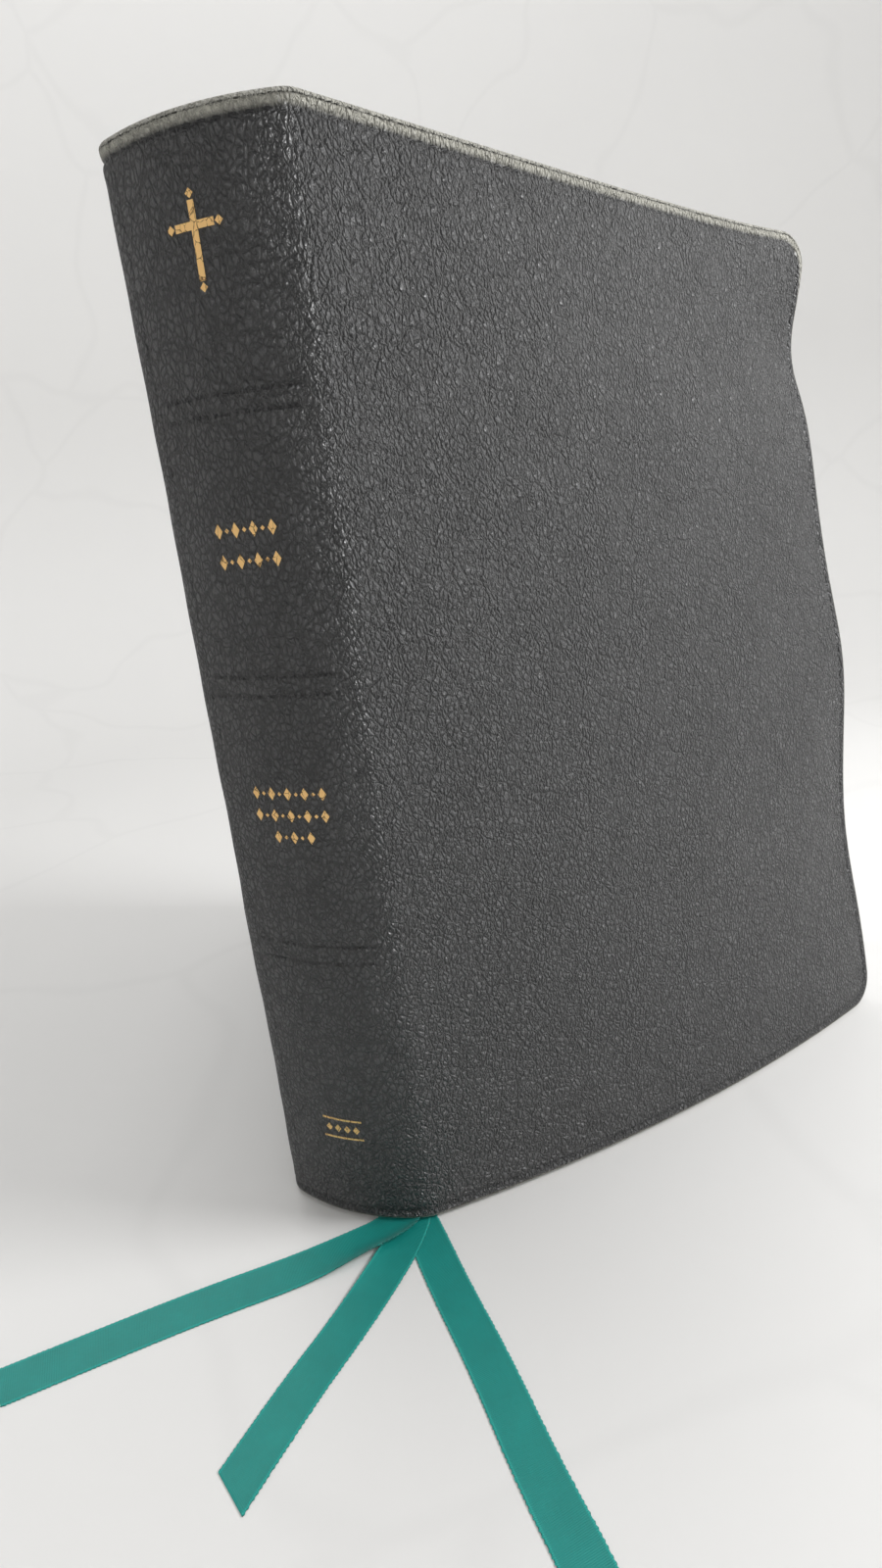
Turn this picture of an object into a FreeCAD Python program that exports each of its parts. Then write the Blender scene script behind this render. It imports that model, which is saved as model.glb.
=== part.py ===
"""A limp leather bible that stands on its tail with both covers splayed.

Frame: +Z is up, the spine faces -X, the front cover lies on the -Y side and the
back cover on the +Y side. Millimetres. The book is drawn from its front joint
(the soft ridge between spine and front cover, at the floor) and then moved so
that the origin is the middle of its footprint on the floor.
"""
import FreeCAD
import Part

import math
import os

import Sketcher

Vector = FreeCAD.Vector

SIZES = [
    ("cover_height", 245.0, "height of the leather cover"),
    ("cover_width", 176.0, "joint to fore edge along one cover"),
    ("spine_width", 40.0, "joint to joint across the spine"),
    ("spine_bulge", 3.7, "how far the middle of the spine stands out"),
    ("leather", 1.2, "cover leather thickness"),
    ("board", 0.8, "flexible board thickness"),
    ("lining", 0.5, "lining leather thickness"),
    ("layer_gap", 0.1, "glue line between layers"),
    ("joint_width", 3.5, "soft leather between the joint and a cover's layers"),
    ("board_margin", 6.0, "leather that runs past the board"),
    ("board_setback", 3.0, "start of a cover's layers to its board"),
    ("lining_margin", 1.0, "leather that runs past the lining"),
    ("strip_inset", 3.0, "joint to the card strip of the spine"),
    ("strip_lining_inset", 2.0, "joint to the lining of the spine"),
    ("corner_radius", 10.0, "round corners of the covers"),
    ("tail_lift", 0.9, "room under the leather for the ribbon markers"),
    ("square", 4.5, "leather that runs past the leaves at head and tail"),
    ("fore_square", 7.5, "leather that runs past the leaves at the fore edge"),
    ("leaf_corner", 7.0, "round corners of the leaves"),
    ("block_back", 4.5, "folds of the leaves behind the joint line"),
    ("flyleaf", 0.35, "endpaper thickness"),
    ("flyleaf_air", 0.3, "air between lining and endpaper"),
    ("bundle", 2.5, "thickness of one moving bundle of leaves"),
    ("bundle_gap", 0.1, "air between two bundles"),
    ("hinge_gap", 1.0, "bare strip between a fold line and its bundle"),
    ("fold_thickness", 0.6, "thickness of a bundle at its fold"),
    ("fold_taper", 8.0, "length over which a bundle swells to full thickness"),
    ("ribbon_width", 10.0, "ribbon marker width"),
    ("ribbon", 0.22, "ribbon marker thickness"),
    ("ribbon_step", 0.26, "height step where the markers cross"),
    ("sewing", 0.25, "thickness of the thread on the folds"),
    ("gauze", 0.35, "thickness of the gauze"),
    ("back_paper", 0.35, "thickness of the back paper"),
    ("back_gap", 0.05, "glue line between the layers on the folds"),
    ("headband", 1.2, "headband cord radius"),
    ("headband_gap", 0.2, "folds to headband cord"),
    ("bank_inset", 2.0, "folds to the hidden run of the markers"),
    ("thread", 0.45, "sewing thread thickness"),
    ("stitch_inset", 3.0, "edge of the cover to its line of stitches"),
    ("stitch_lift", 0.2, "gap under the line of stitches"),
    ("stitch_start", 1.0, "joint to the first stitch"),
    ("front_open", 28.0, "front cover at rest, degrees from shut"),
    ("front_twist", 15.0, "extra splay of its tail, degrees"),
    ("front_bow", 7.0, "outward bow of its tail"),
    ("back_open", 17.0, "back cover at rest, degrees from shut"),
    ("back_twist", 8.0, "extra splay of its tail, degrees"),
    ("back_bow", 5.0, "outward bow of its tail"),
]

BUNDLES = 4
BUNDLE_RATIOS = [0.48, 0.36, 0.24, 0.12]
FLYLEAF_RATIO = 0.62
SHUT_SPLAY = 1.0
SECTIONS = 41
SECTION_POINTS = 13
FOOT_STEPS = 40
THREAD_STATIONS = 5
TANGENT_SHARE = 0.45
CUT_REACH = 30.0
CUT_SPARE = 12.0

# Waves of the limp fore edge: outward reach, then middle and spread as shares of the height.
EDGE_WAVES = [(2.7, 0.49, 0.1), (-2.9, 0.245, 0.12), (-3.0, 0.865, 0.057)]
HEAD_FLARE_SPREAD = 0.073

LEAF_HEIGHT = "(Sizes.cover_height - 2 * Sizes.square)"
LEAF_WIDTH = "(Sizes.cover_width - Sizes.block_back - Sizes.fore_square)"
LAYERS = "(Sizes.leather + Sizes.board + Sizes.lining + 2 * Sizes.layer_gap)"
FLYLEAF_SEAT = "(%s + Sizes.flyleaf_air)" % LAYERS

# The markers' routes on the floor, from under the block outwards: x, y and the
# level (0 lies on the floor, 1 and 2 lie on the markers below where they cross).
ROUTES = {
    "ribbon_left": [(11, 9, 2), (2, 6, 2), (-6, 9.5, 2), (-13, 17, 1.4), (-23, 28.5, 0.4),
                    (-36, 45.5, 0), (-50, 62, 0), (-66, 80.5, 0)],
    "ribbon_middle": [(12, 8.5, 1), (2, 5, 1), (-8, 4.5, 1), (-20, 6.5, 0.3), (-34, 9.6, 0),
                      (-50, 13.8, 0), (-69, 17.4, 0)],
    "ribbon_right": [(11, 13, 0), (3, 6.5, 0), (-6, -1.6, 0), (-17, -11, 0), (-32, -25.2, 0),
                     (-49, -39.5, 0), (-63, -53, 0), (-79, -66, 0)],
}

os.makedirs("parts", exist_ok=True)
doc = FreeCAD.newDocument("Bible")
sheet = doc.addObject("Spreadsheet::Sheet", "Sizes")
for row, (alias, number, meaning) in enumerate(SIZES, start=1):
    sheet.set("A%d" % row, alias)
    sheet.set("B%d" % row, str(number))
    sheet.set("C%d" % row, meaning)
    sheet.setAlias("B%d" % row, alias)
doc.recompute()
size = {alias: float(sheet.get(alias)) for alias, number, meaning in SIZES}

SIDES = {
    "front": {"open": size["front_open"], "twist": size["front_twist"],
              "bow": size["front_bow"], "flare": 5.0, "wave": 1.0},
    "back": {"open": size["back_open"], "twist": size["back_twist"],
             "bow": size["back_bow"], "flare": 2.0, "wave": -0.6},
}


def bump(height, middle, spread):
    """A smooth rise around one height, used for the waves of the limp edge."""
    return math.exp(-(((height - middle) / spread) ** 2))


def cover_point(side, along, height, depth):
    """A point of a shut cover: along runs joint to fore edge, depth goes inwards."""
    shape = SIDES[side]
    tall = size["cover_height"]
    share = along / size["cover_width"]
    rise = height / tall
    bow = shape["bow"] * (1.0 - rise) * 4.0 * share * (1.0 - share)
    wave = sum(reach * bump(rise, middle, spread) for reach, middle, spread in EDGE_WAVES)
    flare = shape["flare"] * bump(rise, 1.0, HEAD_FLARE_SPREAD)
    outwards = bow + shape["wave"] * wave * share ** 3 + flare * share ** 6
    turn = math.radians(SHUT_SPLAY + shape["twist"] * (1.0 - rise))
    across = depth - outwards
    x = along * math.cos(turn) + across * math.sin(turn)
    y = across * math.cos(turn) - along * math.sin(turn)
    return Vector(x, y, size["tail_lift"] + height)


def opened(side, point):
    """A point of a shut cover, carried to where the standing book holds it."""
    turn = math.radians(SIDES[side]["open"])
    x = point.x * math.cos(turn) + point.y * math.sin(turn)
    y = point.y * math.cos(turn) - point.x * math.sin(turn)
    if side == "back":
        y = size["spine_width"] - y
    return Vector(x, y, point.z)


def footprint_middle():
    """The middle of the standing book's outline on the floor."""
    reach_x = [-size["spine_bulge"], size["cover_width"] - size["fore_square"]]
    reach_y = []
    for side in SIDES:
        for step in range(FOOT_STEPS + 1):
            height = size["cover_height"] * step / FOOT_STEPS
            fore = opened(side, cover_point(side, size["cover_width"], height, 0.0))
            reach_x.append(fore.x)
            reach_y.append(fore.y)
    return (min(reach_x) + max(reach_x)) / 2.0, (min(reach_y) + max(reach_y)) / 2.0


MIDDLE_X, MIDDLE_Y = footprint_middle()
row = len(SIZES) + 1
for alias, number in (("middle_x", MIDDLE_X), ("middle_y", MIDDLE_Y)):
    sheet.set("A%d" % row, alias)
    sheet.set("B%d" % row, repr(number))
    sheet.setAlias("B%d" % row, alias)
    row += 1
doc.recompute()
pieces = []


def keep(piece, label):
    """Names a finished sub-part and puts it on the list of nodes."""
    piece.Label = label
    pieces.append(piece)
    return piece


def place(piece, x, y, z, turn="0"):
    """Binds a piece's place, given in the drawing frame, to the sheet."""
    piece.Placement = FreeCAD.Placement(Vector(0, 0, 0), FreeCAD.Rotation(Vector(0, 0, 1), 1.0))
    piece.setExpression("Placement.Base.x", "(%s) - Sizes.middle_x" % x)
    piece.setExpression("Placement.Base.y", "(%s) - Sizes.middle_y" % y)
    piece.setExpression("Placement.Base.z", z)
    piece.setExpression("Placement.Rotation.Angle", turn)


def outline_sketch(body, name, corners):
    """A closed outline whose corners are bound to the sheet."""
    sketch = body.newObject("Sketcher::SketchObject", name)
    planes = [f for f in body.Origin.OriginFeatures if f.Role == "XY_Plane"]
    sketch.AttachmentSupport = [(planes[0], "")]
    sketch.MapMode = "FlatFace"
    at = [Vector(float(sheet.evalExpression(x)), float(sheet.evalExpression(y)), 0) for x, y in corners]
    count = len(corners)
    for i in range(count):
        sketch.addGeometry(Part.LineSegment(at[i], at[(i + 1) % count]), False)
    for i in range(count):
        sketch.addConstraint(Sketcher.Constraint("Coincident", i, 2, (i + 1) % count, 1))
    for i, (x, y) in enumerate(corners):
        for kind, text, number, axis in (("DistanceX", x, at[i].x, -2), ("DistanceY", y, at[i].y, -1)):
            if text == "0":
                sketch.addConstraint(Sketcher.Constraint("PointOnObject", i, 1, axis))
            else:
                bound = sketch.addConstraint(Sketcher.Constraint(kind, -1, 1, i, 1, number))
                sketch.setExpression("Constraints[%d]" % bound, text)
    return sketch


def leaf_body(label, corners, round_corners=True):
    """Leaves cut to one outline, padded to their height, with round fore corners."""
    body = doc.addObject("PartDesign::Body", label)
    sketch = outline_sketch(body, label + "_outline", corners)
    pad = body.newObject("PartDesign::Pad", label + "_pad")
    pad.Profile = sketch
    pad.setExpression("Length", LEAF_HEIGHT)
    doc.recompute()
    sketch.Visibility = False
    if round_corners:
        reach = max(v.X for v in pad.Shape.Vertexes)
        names = []
        for i, edge in enumerate(pad.Shape.Edges, start=1):
            first, last = edge.Vertexes[0].Point, edge.Vertexes[-1].Point
            level = abs(first.z - last.z) < 1e-6
            if level and min(first.x, last.x) > reach - 1e-6:
                names.append("Edge%d" % i)
        fillet = body.newObject("PartDesign::Fillet", label + "_corners")
        fillet.Base = (pad, names)
        fillet.setExpression("Radius", "Sizes.leaf_corner")
    return keep(body, label)


def bundle_seat(index):
    """Where a bundle's outer face lies, from the outer face of the shut cover."""
    step = "%d * (Sizes.bundle + Sizes.bundle_gap)" % index
    return "%s + Sizes.flyleaf + Sizes.bundle_gap + %s" % (FLYLEAF_SEAT, step)


def leaf_bottom():
    """Height of the leaves' tail above the floor."""
    return "Sizes.tail_lift + Sizes.square"


def moving_leaves(side):
    """The endpaper and the bundles that turn with one cover."""
    sign = "" if side == "front" else "-"
    turn = "-%s * Sizes.%s_open" if side == "front" else "%s * Sizes.%s_open"

    def seat(text):
        return text if side == "front" else "Sizes.spine_width - (%s)" % text

    fly = [("Sizes.hinge_gap * 1.5", "0"), (LEAF_WIDTH, "0"),
           (LEAF_WIDTH, sign + "Sizes.flyleaf"), ("Sizes.hinge_gap * 1.5", sign + "Sizes.flyleaf")]
    flyleaf = leaf_body(side + "_flyleaf", fly)
    place(flyleaf, "Sizes.block_back", seat(FLYLEAF_SEAT), leaf_bottom(), turn % (FLYLEAF_RATIO, side))
    for index in range(BUNDLES):
        bundle = [("Sizes.hinge_gap", "0"), (LEAF_WIDTH, "0"),
                  (LEAF_WIDTH, sign + "Sizes.bundle"), ("Sizes.fold_taper", sign + "Sizes.bundle"),
                  ("Sizes.hinge_gap", sign + "Sizes.fold_thickness")]
        leaves = leaf_body("%s_leaves_%d" % (side, index + 1), bundle)
        place(leaves, "Sizes.block_back", seat(bundle_seat(index)), leaf_bottom(),
              turn % (BUNDLE_RATIOS[index], side))


def block_core():
    """The middle leaves, fixed to the spine, with room in front for the markers."""
    thick = "(Sizes.spine_width - 2 * (%s) - 4 * Sizes.ribbon - Sizes.bundle_gap)" % bundle_seat(BUNDLES)
    corners = [("0", "0"), (LEAF_WIDTH, "0"), (LEAF_WIDTH, thick), ("0", thick)]
    core = leaf_body("leaves_core", corners)
    place(core, "Sizes.block_back", "%s + 4 * Sizes.ribbon" % bundle_seat(BUNDLES), leaf_bottom())


def box(label, length, width, height):
    """A plain block with its three sides bound to the sheet."""
    block = doc.addObject("Part::Box", label)
    block.setExpression("Length", length)
    block.setExpression("Width", width)
    block.setExpression("Height", height)
    return block


def back_linings():
    """Thread, gauze and paper on the folds, from the leaves outwards."""
    span = "Sizes.spine_width - 2 * (%s)" % bundle_seat(0)
    start = bundle_seat(0)
    thread_seat = "Sizes.block_back - Sizes.back_gap - Sizes.sewing"
    gauze_seat = thread_seat + " - Sizes.back_gap - Sizes.gauze"
    paper_seat = gauze_seat + " - Sizes.back_gap - Sizes.back_paper"
    threads = []
    for station in range(THREAD_STATIONS):
        bar = box("thread_%d" % (station + 1), "Sizes.sewing", span, "%s / 9" % LEAF_HEIGHT)
        low = "%s + %s * %s" % (leaf_bottom(), LEAF_HEIGHT, 0.08 + 0.18 * station)
        place(bar, thread_seat, start, low)
        threads.append(bar)
    sewing = doc.addObject("Part::Compound", "sewing_thread")
    sewing.Links = threads
    keep(sewing, "sewing_thread")
    gauze = box("spine_mull", "Sizes.gauze", span, "%s * 0.88" % LEAF_HEIGHT)
    place(gauze, gauze_seat, start, "%s + %s * 0.06" % (leaf_bottom(), LEAF_HEIGHT))
    keep(gauze, "spine_mull")
    paper = box("spine_paper", "Sizes.back_paper", span, "%s * 0.96" % LEAF_HEIGHT)
    place(paper, paper_seat, start, "%s + %s * 0.02" % (leaf_bottom(), LEAF_HEIGHT))
    keep(paper, "spine_paper")


def headbands():
    """A cord across the folds at the head and one at the tail."""
    ends = {"headband_head": "%s + %s" % (leaf_bottom(), LEAF_HEIGHT), "headband_tail": leaf_bottom()}
    seat = "Sizes.block_back - Sizes.headband - Sizes.headband_gap - Sizes.middle_x"
    for label, level in ends.items():
        cord = doc.addObject("Part::Cylinder", label)
        cord.setExpression("Radius", "Sizes.headband")
        cord.setExpression("Height", "Sizes.spine_width - 2 * (%s)" % bundle_seat(0))
        cord.Placement = FreeCAD.Placement(Vector(0, 0, 0), FreeCAD.Rotation(Vector(1, 0, 0), -90))
        cord.setExpression("Placement.Base.x", seat)
        cord.setExpression("Placement.Base.y", "%s - Sizes.middle_y" % bundle_seat(0))
        cord.setExpression("Placement.Base.z", level)
        keep(cord, label)


def marker_bank():
    """The hidden run of the three markers, flat against the core, down the fold."""
    bank = box("ribbon_bank", "Sizes.ribbon_width", "3 * Sizes.ribbon",
               "%s + %s - 3 * Sizes.ribbon_step" % (LEAF_HEIGHT, leaf_bottom()))
    place(bank, "Sizes.block_back + Sizes.bank_inset", "%s + Sizes.ribbon / 2" % bundle_seat(BUNDLES),
          "3 * Sizes.ribbon_step")
    keep(bank, "ribbon_bank")


def spine_shell(label, outside, thickness, inset, low, high):
    """A band of the spine's arc, between two depths, short of each joint by inset."""
    radius = "(((Sizes.spine_width / 2) ^ 2 + Sizes.spine_bulge ^ 2) / (2 * Sizes.spine_bulge))"
    rings = []
    for name, depth in (("outer", outside), ("inner", "%s + %s" % (outside, thickness))):
        ring = doc.addObject("Part::Cylinder", "%s_%s" % (label, name))
        ring.setExpression("Radius", "%s - (%s)" % (radius, depth))
        ring.setExpression("Height", "%s - (%s)" % (high, low))
        place(ring, "%s - Sizes.spine_bulge" % radius, "Sizes.spine_width / 2", low)
        rings.append(ring)
    band = doc.addObject("Part::Cut", label + "_band")
    band.Base, band.Tool = rings
    window = box(label + "_window", "4 * Sizes.spine_bulge + 10", "Sizes.spine_width - 2 * (%s)" % inset,
                 "%s - (%s)" % (high, low))
    place(window, "-2 * Sizes.spine_bulge", inset, low)
    shell = doc.addObject("Part::Common", label)
    shell.Base, shell.Tool = band, window
    return keep(shell, label)


def spine_pieces():
    """Leather, card strip and lining of the spine, from outside inwards."""
    low, high = "Sizes.tail_lift", "Sizes.tail_lift + Sizes.cover_height"
    spine_shell("spine_leather", "0", "Sizes.leather", "0", low, high)
    spine_shell("spine_stiffener", "Sizes.leather + Sizes.layer_gap", "Sizes.board", "Sizes.strip_inset",
                low + " + Sizes.board_margin", high + " - Sizes.board_margin")
    spine_shell("spine_lining", "Sizes.leather + Sizes.board + 2 * Sizes.layer_gap", "Sizes.lining",
                "Sizes.strip_lining_inset", low + " + Sizes.lining_margin", high + " - Sizes.lining_margin")
    for label, level in (("spine_stitch_tail", low + " + Sizes.stitch_inset"),
                         ("spine_stitch_head", high + " - Sizes.stitch_inset")):
        spine_shell(label, "-Sizes.stitch_lift - Sizes.thread / 2", "Sizes.thread / 2", "Sizes.stitch_start",
                    level + " - Sizes.thread / 2", level + " + Sizes.thread / 2")


def code_piece(label, shape):
    """Keeps a shape that only code can make, moved to the part's origin."""
    piece = doc.addObject("Part::Feature", label)
    piece.Shape = shape
    piece.Placement = FreeCAD.Placement(Vector(-MIDDLE_X, -MIDDLE_Y, 0), FreeCAD.Rotation())
    return keep(piece, label)


def smooth_edge(points):
    """One smooth edge through a row of points."""
    curve = Part.BSplineCurve()
    curve.interpolate(points)
    return curve.toShape()


def cover_layer(side, outer, thickness, margin, start):
    """One layer of a splayed cover: a thin limp sheet lofted from tail to head."""
    tall = size["cover_height"]
    sections = []
    for step in range(SECTIONS):
        height = margin + (tall - 2.0 * margin) * step / (SECTIONS - 1.0)
        rows = []
        for depth in (outer, outer + thickness):
            reach = size["cover_width"] - margin
            marks = [start + (reach - start) * i / (SECTION_POINTS - 1.0) for i in range(SECTION_POINTS)]
            rows.append([opened(side, cover_point(side, mark, height, depth)) for mark in marks])
        outside, inside = rows
        inside.reverse()
        edges = [smooth_edge(outside), Part.makeLine(outside[-1], inside[0]),
                 smooth_edge(inside), Part.makeLine(inside[-1], outside[0])]
        sections.append(Part.Wire(edges))
    layer = Part.makeLoft(sections, True, False)
    for end in (0, 1):
        layer = layer.cut(corner_waste(side, margin, end))
    return layer


def corner_waste(side, margin, end):
    """What a round fore corner leaves off, at the tail (0) or the head (1)."""
    radius = size["corner_radius"] - margin * 0.5
    reach = size["cover_width"] - margin
    height = margin if end == 0 else size["cover_height"] - margin
    inner = height + radius if end == 0 else height - radius
    centre = opened(side, cover_point(side, reach - radius, inner, 0.0))
    fore = opened(side, cover_point(side, reach, inner, 0.0))
    along = (fore - centre).normalize()
    across = Vector(0, 0, 1).cross(along)
    frame = FreeCAD.Matrix(along.x, across.x, 0, centre.x,
                           along.y, across.y, 0, centre.y,
                           0, 0, 1, centre.z,
                           0, 0, 0, 1)
    side_length = radius + CUT_SPARE
    low = 0.0 if end == 1 else -side_length
    block = Part.makeBox(side_length, 2 * CUT_REACH, side_length, Vector(0, -CUT_REACH, low))
    round_off = Part.makeCylinder(radius, 2 * CUT_REACH, Vector(0, -CUT_REACH, 0), Vector(0, 1, 0))
    waste = block.cut(round_off)
    waste.Placement = FreeCAD.Placement(frame)
    return waste


def stitch_line(side):
    """The line of thread that follows three edges of a cover, just above its leather."""
    tall = size["cover_height"]
    inset = size["stitch_inset"]
    radius = size["corner_radius"] - inset
    reach = size["cover_width"] - inset
    start = size["joint_width"] + size["stitch_start"]
    path = [(start + (reach - radius - start) * i / 20.0, inset) for i in range(21)]
    for i in range(1, 7):
        turn = math.radians(15.0 * i)
        path.append((reach - radius + radius * math.sin(turn), inset + radius - radius * math.cos(turn)))
    bend = list(path)
    rises = [inset + radius + (tall - 2.0 * (inset + radius)) * i / 60.0 for i in range(1, 60)]
    path += [(reach, rise) for rise in rises]
    path += [(along, tall - rise) for along, rise in reversed(bend)]
    half = size["thread"] / 2.0
    lift = size["stitch_lift"]
    sections = []
    for index, (along, rise) in enumerate(path):
        before, after = path[max(index - 1, 0)], path[min(index + 1, len(path) - 1)]
        heading = opened(side, cover_point(side, *after, 0.0)) - opened(side, cover_point(side, *before, 0.0))
        heading.normalize()
        middle = opened(side, cover_point(side, along, rise, 0.0))
        across = heading.cross(opened(side, cover_point(side, along, rise, -1.0)) - middle).normalize()
        out = across.cross(heading).normalize()
        corners = [middle + across * sideways + out * height for sideways, height in
                   ((-half, lift), (half, lift), (half, lift + half), (-half, lift + half))]
        sections.append(Part.makePolygon(corners + corners[:1]))
    return Part.makeLoft(sections, True, True)


def cover_pieces(side):
    """Leather, board, lining and stitching of one cover."""
    gap = size["layer_gap"]
    board_depth = size["leather"] + gap
    lining_depth = board_depth + size["board"] + gap
    start = size["joint_width"]
    code_piece(side + "_leather", cover_layer(side, 0.0, size["leather"], 0.0, start))
    code_piece(side + "_board", cover_layer(side, board_depth, size["board"], size["board_margin"],
                                            start + size["board_setback"]))
    code_piece(side + "_lining", cover_layer(side, lining_depth, size["lining"], size["lining_margin"], start))
    code_piece(side + "_stitching", stitch_line(side))


def route_wire(label):
    """Straight runs joined by the largest tangent arcs that they allow."""
    level = size["ribbon_step"]
    points = [Vector(x, y, size["ribbon"] / 2.0 + z * level) for x, y, z in ROUTES[label]]
    edges = []
    radii = []
    here = points[0]
    for before, corner, after in zip(points, points[1:], points[2:]):
        back, ahead = before - corner, after - corner
        short = min(back.Length, ahead.Length)
        turn = math.pi - back.getAngle(ahead)
        reach = TANGENT_SHARE * short
        radii.append(reach / math.tan(turn / 2.0))
        first = corner + back.normalize() * reach
        last = corner + ahead.normalize() * reach
        inward = (back + ahead).normalize()
        middle = corner + inward * (radii[-1] / math.cos(turn / 2.0) - radii[-1])
        edges.append(Part.makeLine(here, first))
        edges.append(Part.Arc(first, middle, last).toShape())
        here = last
    edges.append(Part.makeLine(here, points[-1]))
    print(label, "arc radii", [round(radius, 1) for radius in radii])
    return Part.Wire(edges)


def marker(label):
    """A ribbon marker's free run, its flat side kept to the floor."""
    path = route_wire(label)
    start = path.Edges[0].firstVertex(True).Point
    end = path.Edges[0].lastVertex(True).Point
    heading = (end - start).normalize()
    sideways = Vector(0, 0, 1).cross(heading).normalize() * (size["ribbon_width"] / 2.0)
    up = Vector(0, 0, size["ribbon"] / 2.0)
    corners = [start + sideways + up, start - sideways + up, start - sideways - up, start + sideways - up]
    pipe = Part.BRepOffsetAPI.MakePipeShell(path)
    pipe.setBiNormalMode(Vector(0, 0, 1))
    pipe.add(Part.makePolygon(corners + corners[:1]), False, False)
    pipe.build()
    pipe.makeSolid()
    solid = pipe.shape()
    expected = path.Length * size["ribbon_width"] * size["ribbon"]
    print(label, "length", round(path.Length, 1), "volume share", round(solid.Volume / expected, 4))
    code_piece(label, solid)


def check_and_export():
    """Refuses a failed object, then writes one file per sub-part."""
    doc.recompute()
    for item in doc.Objects:
        if "Invalid" in item.State or "Error" in item.State:
            raise RuntimeError("%s failed to build: %s" % (item.Name, item.State))
    for piece in pieces:
        if piece.Shape.isNull() or not piece.Shape.isValid() or piece.Shape.Volume <= 0.0:
            raise RuntimeError("%s has no sound solid" % piece.Label)
    for piece in pieces:
        piece.Shape.exportStep("parts/%s.step" % piece.Label)
        bounds = piece.Shape.BoundBox
        print("%-20s %8.1f mm3  x %.1f..%.1f  y %.1f..%.1f  z %.1f..%.1f" % (
            piece.Label, piece.Shape.Volume, bounds.XMin, bounds.XMax,
            bounds.YMin, bounds.YMax, bounds.ZMin, bounds.ZMax))
    print("sub-parts", len(pieces), "middle", round(MIDDLE_X, 7), round(MIDDLE_Y, 7))


block_core()
marker_bank()
back_linings()
headbands()
spine_pieces()
for side_name in SIDES:
    moving_leaves(side_name)
    cover_pieces(side_name)
for marker_name in ROUTES:
    marker(marker_name)
check_and_export()
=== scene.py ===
"""A limp black goatskin bible that stands on its tail, with gilt leaves and three ribbon markers."""

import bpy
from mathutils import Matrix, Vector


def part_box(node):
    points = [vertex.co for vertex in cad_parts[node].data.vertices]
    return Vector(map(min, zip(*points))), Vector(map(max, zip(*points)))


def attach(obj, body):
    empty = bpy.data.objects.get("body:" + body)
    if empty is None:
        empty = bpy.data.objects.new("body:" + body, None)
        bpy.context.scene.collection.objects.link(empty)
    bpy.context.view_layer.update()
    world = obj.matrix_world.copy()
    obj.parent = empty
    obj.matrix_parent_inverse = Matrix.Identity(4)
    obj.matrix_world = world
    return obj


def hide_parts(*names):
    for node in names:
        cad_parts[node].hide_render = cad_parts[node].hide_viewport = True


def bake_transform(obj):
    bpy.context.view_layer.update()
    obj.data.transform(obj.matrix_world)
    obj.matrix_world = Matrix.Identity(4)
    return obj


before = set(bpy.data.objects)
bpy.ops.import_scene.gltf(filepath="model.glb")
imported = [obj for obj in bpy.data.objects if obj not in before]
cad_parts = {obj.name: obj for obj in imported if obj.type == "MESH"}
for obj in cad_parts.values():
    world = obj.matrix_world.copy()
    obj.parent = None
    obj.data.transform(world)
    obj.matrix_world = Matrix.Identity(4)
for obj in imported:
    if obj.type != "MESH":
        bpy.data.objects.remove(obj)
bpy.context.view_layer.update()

import math

import bpy
import numpy as np
from bpy.props import FloatProperty, FloatVectorProperty, PointerProperty
from mathutils import Matrix, Vector

bl_info = {
    "name": "Limp leather bible",
    "version": (1, 0, 0),
    "blender": (4, 5, 0),
    "location": "View3D > Sidebar > Bible",
    "description": "Builds the leather case, leaves, markers and stage of a standing limp bible",
    "category": "Object",
}

MM = 0.001
BLOCK = "spine_and_block"
SIDES = ("front", "back")
BUNDLES = 4
BUNDLE_RATIOS = (0.48, 0.36, 0.24, 0.12)
FLYLEAF_RATIO = 0.62

# The camera's own right, down and forward ways, and its place from the front joint's foot.
CAMERA_RIGHT = (0.32096, -0.94266, -0.09158)
CAMERA_DOWN = (-0.33301, -0.0218, -0.94267)
CAMERA_FORWARD = (0.88662, 0.33305, -0.32091)
CAMERA_PLACE = (-0.14521, -0.06929, 0.17595)

# Lights: name, place, aim, size in metres and power in watts.
LIGHTS = (
    ("overhead", (0.25, 0.20, 1.30), (0.10, 0.0, 0.0), 0.8, 6.8),
    ("window", (0.10, -0.57, 0.43), (-0.02, -0.03, 0.20), 0.24, 4.1),
)
SURROUND_COLOUR = (0.97, 0.985, 1.0, 1.0)
SURROUND_STRENGTH = 0.26


# ---------------------------------------------------------------- sizes and colours

def length(name, description, millimetres):
    """A length property, kept in metres."""
    return FloatProperty(name=name, description=description, default=millimetres * MM,
                         unit="LENGTH", subtype="DISTANCE", precision=5)


def turn(name, description, degrees):
    """An angle property, kept in radians."""
    return FloatProperty(name=name, description=description, default=math.radians(degrees),
                         unit="ROTATION", subtype="ANGLE")


def colour(name, description, rgb):
    """A colour property."""
    return FloatVectorProperty(name=name, description=description, default=rgb, size=3,
                               subtype="COLOR", min=0.0, max=1.0)


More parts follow.
